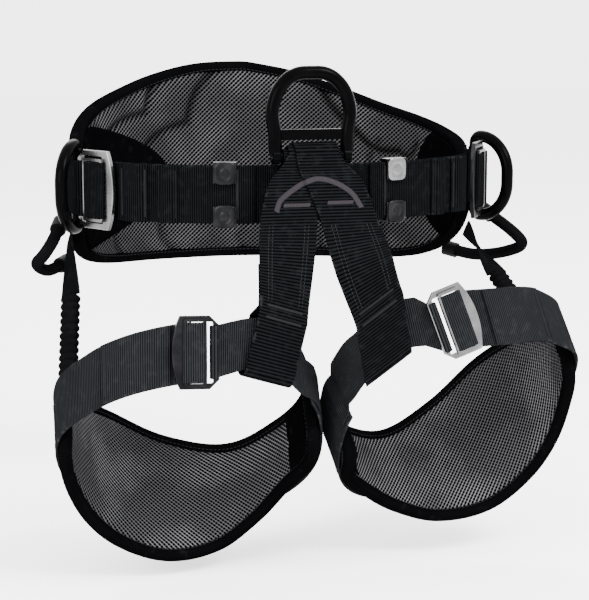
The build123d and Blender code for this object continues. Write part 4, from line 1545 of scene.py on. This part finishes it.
# ---------------------------------------------------------------- leg loops
@dataclass
class LegLoop:
    """Pad and webbing of one leg loop."""

    oval: LegOval
    up: Table = ((86, -26), (92, -33), (120, -50), (150, -57), (180, -42), (210, -27), (240, -29),
                 (280, -25), (288, -17))
    down: Table = ((86, 12), (95, 22), (110, 31), (130, 47), (150, 60), (175, 69), (200, 62),
                   (220, 46), (245, 29), (280, 32), (288, 24))
    start: float = 86.0
    end: float = 288.0
    inner: float = -5.0
    outer: float = 4.0
    patch_span: tuple[float, float] = (250.0, 282.5)
    degree: float = 1.5

    @property
    def body(self) -> str:
        """Body that this loop's pieces move with."""
        return f"leg_{self.oval.side.tag}"

    def edges(self, angle: float) -> tuple[float, float]:
        """Both widthwise edges of the pad at an angle."""
        return smooth(self.up, angle), smooth(self.down, angle)

    def build(self, looks: Finishes) -> None:
        """Build and place the loop's pieces."""
        tag = self.oval.side.tag
        sheet = PadSheet(self.oval.station, self.edges, self.start, self.end, self.inner,
                         self.outer, corner=7)
        # The leg pads' liner takes the brighter copy of the spacer mesh, with its painted light.
        liner = sheet.face(f"leg_pad_mesh_{tag}", looks.leg_mesh, True, 1.6)
        place(liner, self.body, "spacer_mesh", f"leg_mesh_liner_{tag}",
                        f"leg_foam_{tag}")
        shell = sheet.face(f"leg_pad_shell_{tag}", looks.shell, False, 0.4)
        place(shell, self.body, "shell_fabric", f"leg_outer_shell_{tag}")
        rim = sheet.rim(f"leg_pad_binding_{tag}", looks.tape, 0.8)
        place(rim, self.body, "binding", f"leg_binding_{tag}")
        row = StitchRow(3.4, 2.5, 0.34)
        threads = row.strokes(sheet.rim_line(self.inner - 0.9, 6.6))
        threads += row.strokes(sheet.rim_line(self.outer + 0.9, 6.6))
        place(sewn(f"leg_pad_stitching_{tag}", threads, row.length, row.thick,
                   looks.black_thread), self.body, "binding")
        self.patch(looks)
        self.webbing(looks)

    def patch(self, looks: Finishes) -> None:
        """Cloth patch inside the pad's inner end."""
        tag = self.oval.side.tag
        points: list[Vector] = []
        cloth: list[tuple[float, float]] = []
        angles = spread(*self.patch_span, 1.5)
        rows = 17
        for level in (0, 1):
            for a in angles:
                low, high = self.edges(a)
                here = self.oval.station(a)
                fade = ease((a - self.patch_span[0]) / 5)
                for j in range(rows):
                    across = low + 6.5 + (high - low - 13) * j / (rows - 1)
                    out = self.inner - 1.4 - 1.0 * fade * (1 - level)
                    points.append(here.at(out, across))
                    cloth.append((a * self.degree, across))
        faces = shell_faces(len(angles), rows)
        made = piece(f"leg_inner_patch_{tag}", points, faces, cloth, looks.cloth)
        place(made, self.body, "shell_fabric", f"leg_end_patch_{tag}")

    def webbing(self, looks: Finishes) -> None:
        """Adjustable strap, its tail, and the fixed strap through the riser."""
        tag = self.oval.side.tag
        # All leg webbing takes the brighter copy of the webbing, with its painted light.
        strap = Ribbon([self.oval.strap_station(a) for a in spread(8, 300, 1.5)], 0.0, 2.0, 22.5)
        place(strap.make(f"leg_strap_webbing_{tag}", looks.leg_webbing), self.body, "webbing",
              f"leg_strap_{tag}")
        tail = Ribbon([self.oval.strap_station(a) for a in spread(17, 50, 1.5)], 2.3, 4.3, 22.0)
        place(tail.make(f"leg_tail_webbing_{tag}", looks.leg_webbing), self.body, "webbing",
              f"leg_strap_tail_{tag}")
        stations = []
        for a in spread(294, 346, 2.0):
            here = self.oval.strap_station(a)
            lap = 1.6 + 2.2 * (1 - ease((a - 299) / 8))
            stations.append(Station(here.at(lap, 0), -here.out, here.wide))
        axes = self.oval.buckle_place()
        loop = LEG_BUCKLE.bar_loop(axes, axes.y)[::-1]
        if loop[0].wide.dot(stations[-1].wide) < 0:
            loop = [Station(s.point, s.out, -s.wide) for s in loop]
        stations += loop
        fixed = Ribbon(refined(stations, 2.5), 0.0, 1.6, 19.5)
        place(fixed.make(f"leg_fixed_webbing_{tag}", looks.leg_webbing), self.body, "webbing",
              f"leg_fixed_strap_{tag}")
        threads = []
        row = StitchRow(3.2, 2.4, 0.36)
        for w in (-15, 15):
            line = [self.oval.strap_station(a) for a in spread(96, 276, 2.0)]
            threads += row.strokes(strap_line(line, w, 2.1))
        for a in (47.5, 294.0, 288.0):
            here = self.oval.strap_station(a)
            out = 4.5 if a < 60 else 2.3
            threads += bar_tack(here, here.out.cross(here.wide), 17, out, 2.4)
        place(sewn(f"leg_webbing_stitching_{tag}", threads, row.length, row.thick,
                   looks.black_thread), self.body, "webbing")


@dataclass
class Elastic:
    """Flat elastic gathered in a ribbed sleeve, from the belt to a leg loop."""

    side: Side
    top: tuple[float, float, float]
    middle: tuple[float, float, float]
    end: tuple[float, float, float]
    turn: float = 0.9
    width: float = 16.0
    thick: float = 13.0
    ribs: int = 13

    def build(self, looks: Finishes) -> None:
        """Build the flat part and the gathered part."""
        out = Vector((self.side.value, -self.turn, 0))
        top, middle, end = Vector(self.top), Vector(self.middle), Vector(self.end)
        run = (end - middle).normalized()
        wide = out.cross(run).normalized()
        face = run.cross(wide).normalized()
        start = Vector((self.side.value, 0, 0))
        flat = Ribbon(refined([Station(top, start, start.cross(run)),
                               Station(middle, face, wide)]), -1.0, 1.0, 10.0)
        rings = []
        far = []
        length = (end - middle).length
        for i in range(self.ribs * 8 + 1):
            along = length * i / (self.ribs * 8)
            phase = abs(math.sin(math.pi * i / 8))
            swell = 0.72 + 0.28 * phase**0.6
            ring = []
            for m in range(20):
                a = 2 * math.pi * m / 20
                c, s = squared(math.cos(a), 0.7), squared(math.sin(a), 0.7)
                ring.append(middle + run * along + wide * (self.width / 2 * swell * c)
                            + face * (self.thick / 2 * swell * s))
            rings.append(ring)
            far.append(along * 1.6)
        across = [48.0 * m / 20 for m in range(20)]
        sleeve = swept(f"elastic_sleeve_{self.side.tag}", rings, far, across, looks.cover)
        strap = flat.make(f"elastic_strap_{self.side.tag}", looks.webbing)
        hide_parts(f"rear_elastic_{self.side.tag}")
        for made in (strap, sleeve):
            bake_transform(made)
            LOG.info("%s stretches to the leg loop", made.name)


# ---------------------------------------------------------------- room
@dataclass
class Studio:
    """Pale floor, soft lights and the camera."""

    floor: float = -0.30
    eye: tuple[float, float, float] = (-0.385, -1.544, 0.167)
    aim: tuple[float, float, float] = (0.0116, -0.0138, -0.101)
    lens: float = 115.2
    glow: float = 4.4
    reach: float = 6.0

    def build(self) -> None:
        """Set up the room."""
        world = bpy.data.worlds.new("pale room")
        world.use_nodes = True
        sky = world.node_tree.nodes["Background"]
        sky.inputs["Color"].default_value = (1.0, 1.0, 1.0, 1.0)
        sky.inputs["Strength"].default_value = self.glow
        bpy.context.scene.world = world
        mesh = bpy.data.meshes.new("floor")
        r, z = self.reach, self.floor
        mesh.from_pydata([(-r, -r, z), (r, -r, z), (r, r, z), (-r, r, z)], [], [(0, 1, 2, 3)])
        shop = Shop("pale floor")
        mesh.materials.append(shop.finish((0.95, 0.95, 0.95), 0.8, None))
        floor = bpy.data.objects.new("floor", mesh)
        bpy.context.scene.collection.objects.link(floor)
        self.lamp("key", (0.9, -1.2, 1.4), 110.0, 0.8)
        self.lamp("fill", (-1.3, -1.2, 0.5), 40.0, 0.9)
        self.lamp("back", (0.2, 1.5, 1.3), 30.0, 1.0)
        self.camera()

    def lamp(self, name: str, spot: tuple[float, float, float], power: float, size: float) -> None:
        """One soft square light aimed at the saddle."""
        light = bpy.data.lights.new(name, "AREA")
        light.energy = power
        light.size = size
        self.aimed(bpy.data.objects.new(name, light), spot, (0.0, 0.0, -0.08))

    def camera(self) -> None:
        """Camera to the front, a little left and above."""
        data = bpy.data.cameras.new("camera")
        data.lens = self.lens
        data.sensor_fit = "VERTICAL"
        data.sensor_height = 36.0
        data.clip_start = 0.05
        made = bpy.data.objects.new("camera", data)
        self.aimed(made, self.eye, self.aim)
        bpy.context.scene.camera = made

    @staticmethod
    def aimed(made: bpy.types.Object, spot: Sequence[float], target: Sequence[float]) -> None:
        """Put an object at a spot, turned towards a target."""
        made.location = spot
        made.rotation_euler = (Vector(target) - Vector(spot)).to_track_quat("-Z", "Y").to_euler()
        bpy.context.scene.collection.objects.link(made)


def main() -> None:
    """Build every class in order."""
    logging.basicConfig(level=logging.INFO, format="%(name)s: %(message)s")
    looks = Finishes()
    oval = WaistOval()
    legs = {
        Side.LEFT: LegOval(Side.LEFT, (-102.0, -128.0, -176.0), 3.0, 96.0, 2.0, 6.5, -29.0),
        Side.RIGHT: LegOval(Side.RIGHT, (111.0, -128.0, -163.0), 18.0, 100.0, 14.0, 1.0, -33.0)}
    WaistPad(oval).build(looks)
    belt = Belt(oval)
    belt.build(looks)
    BuckleDress("waist", WAIST_BUCKLE, belt.buckle_place, Side.LEFT).build(looks)
    BuckleDress("leg", LEG_BUCKLE, lambda side: legs[side].buckle_place(), Side.RIGHT).build(looks)
    Hardware().build(looks)
    Yoke(oval, legs).build(looks)
    for leg in legs.values():
        LegLoop(leg).build(looks)
    Elastic(Side.LEFT, (-172.0, 14.0, -47.0), (-177.0, -24.0, -88.0),
            (-187.0, -68.0, -157.0)).build(looks)
    Elastic(Side.RIGHT, (172.0, 14.0, -49.0), (187.0, -22.0, -84.0),
            (209.0, -68.0, -131.0), 2.8).build(looks)
    Studio().build()


if __name__ == "__main__":
    main()
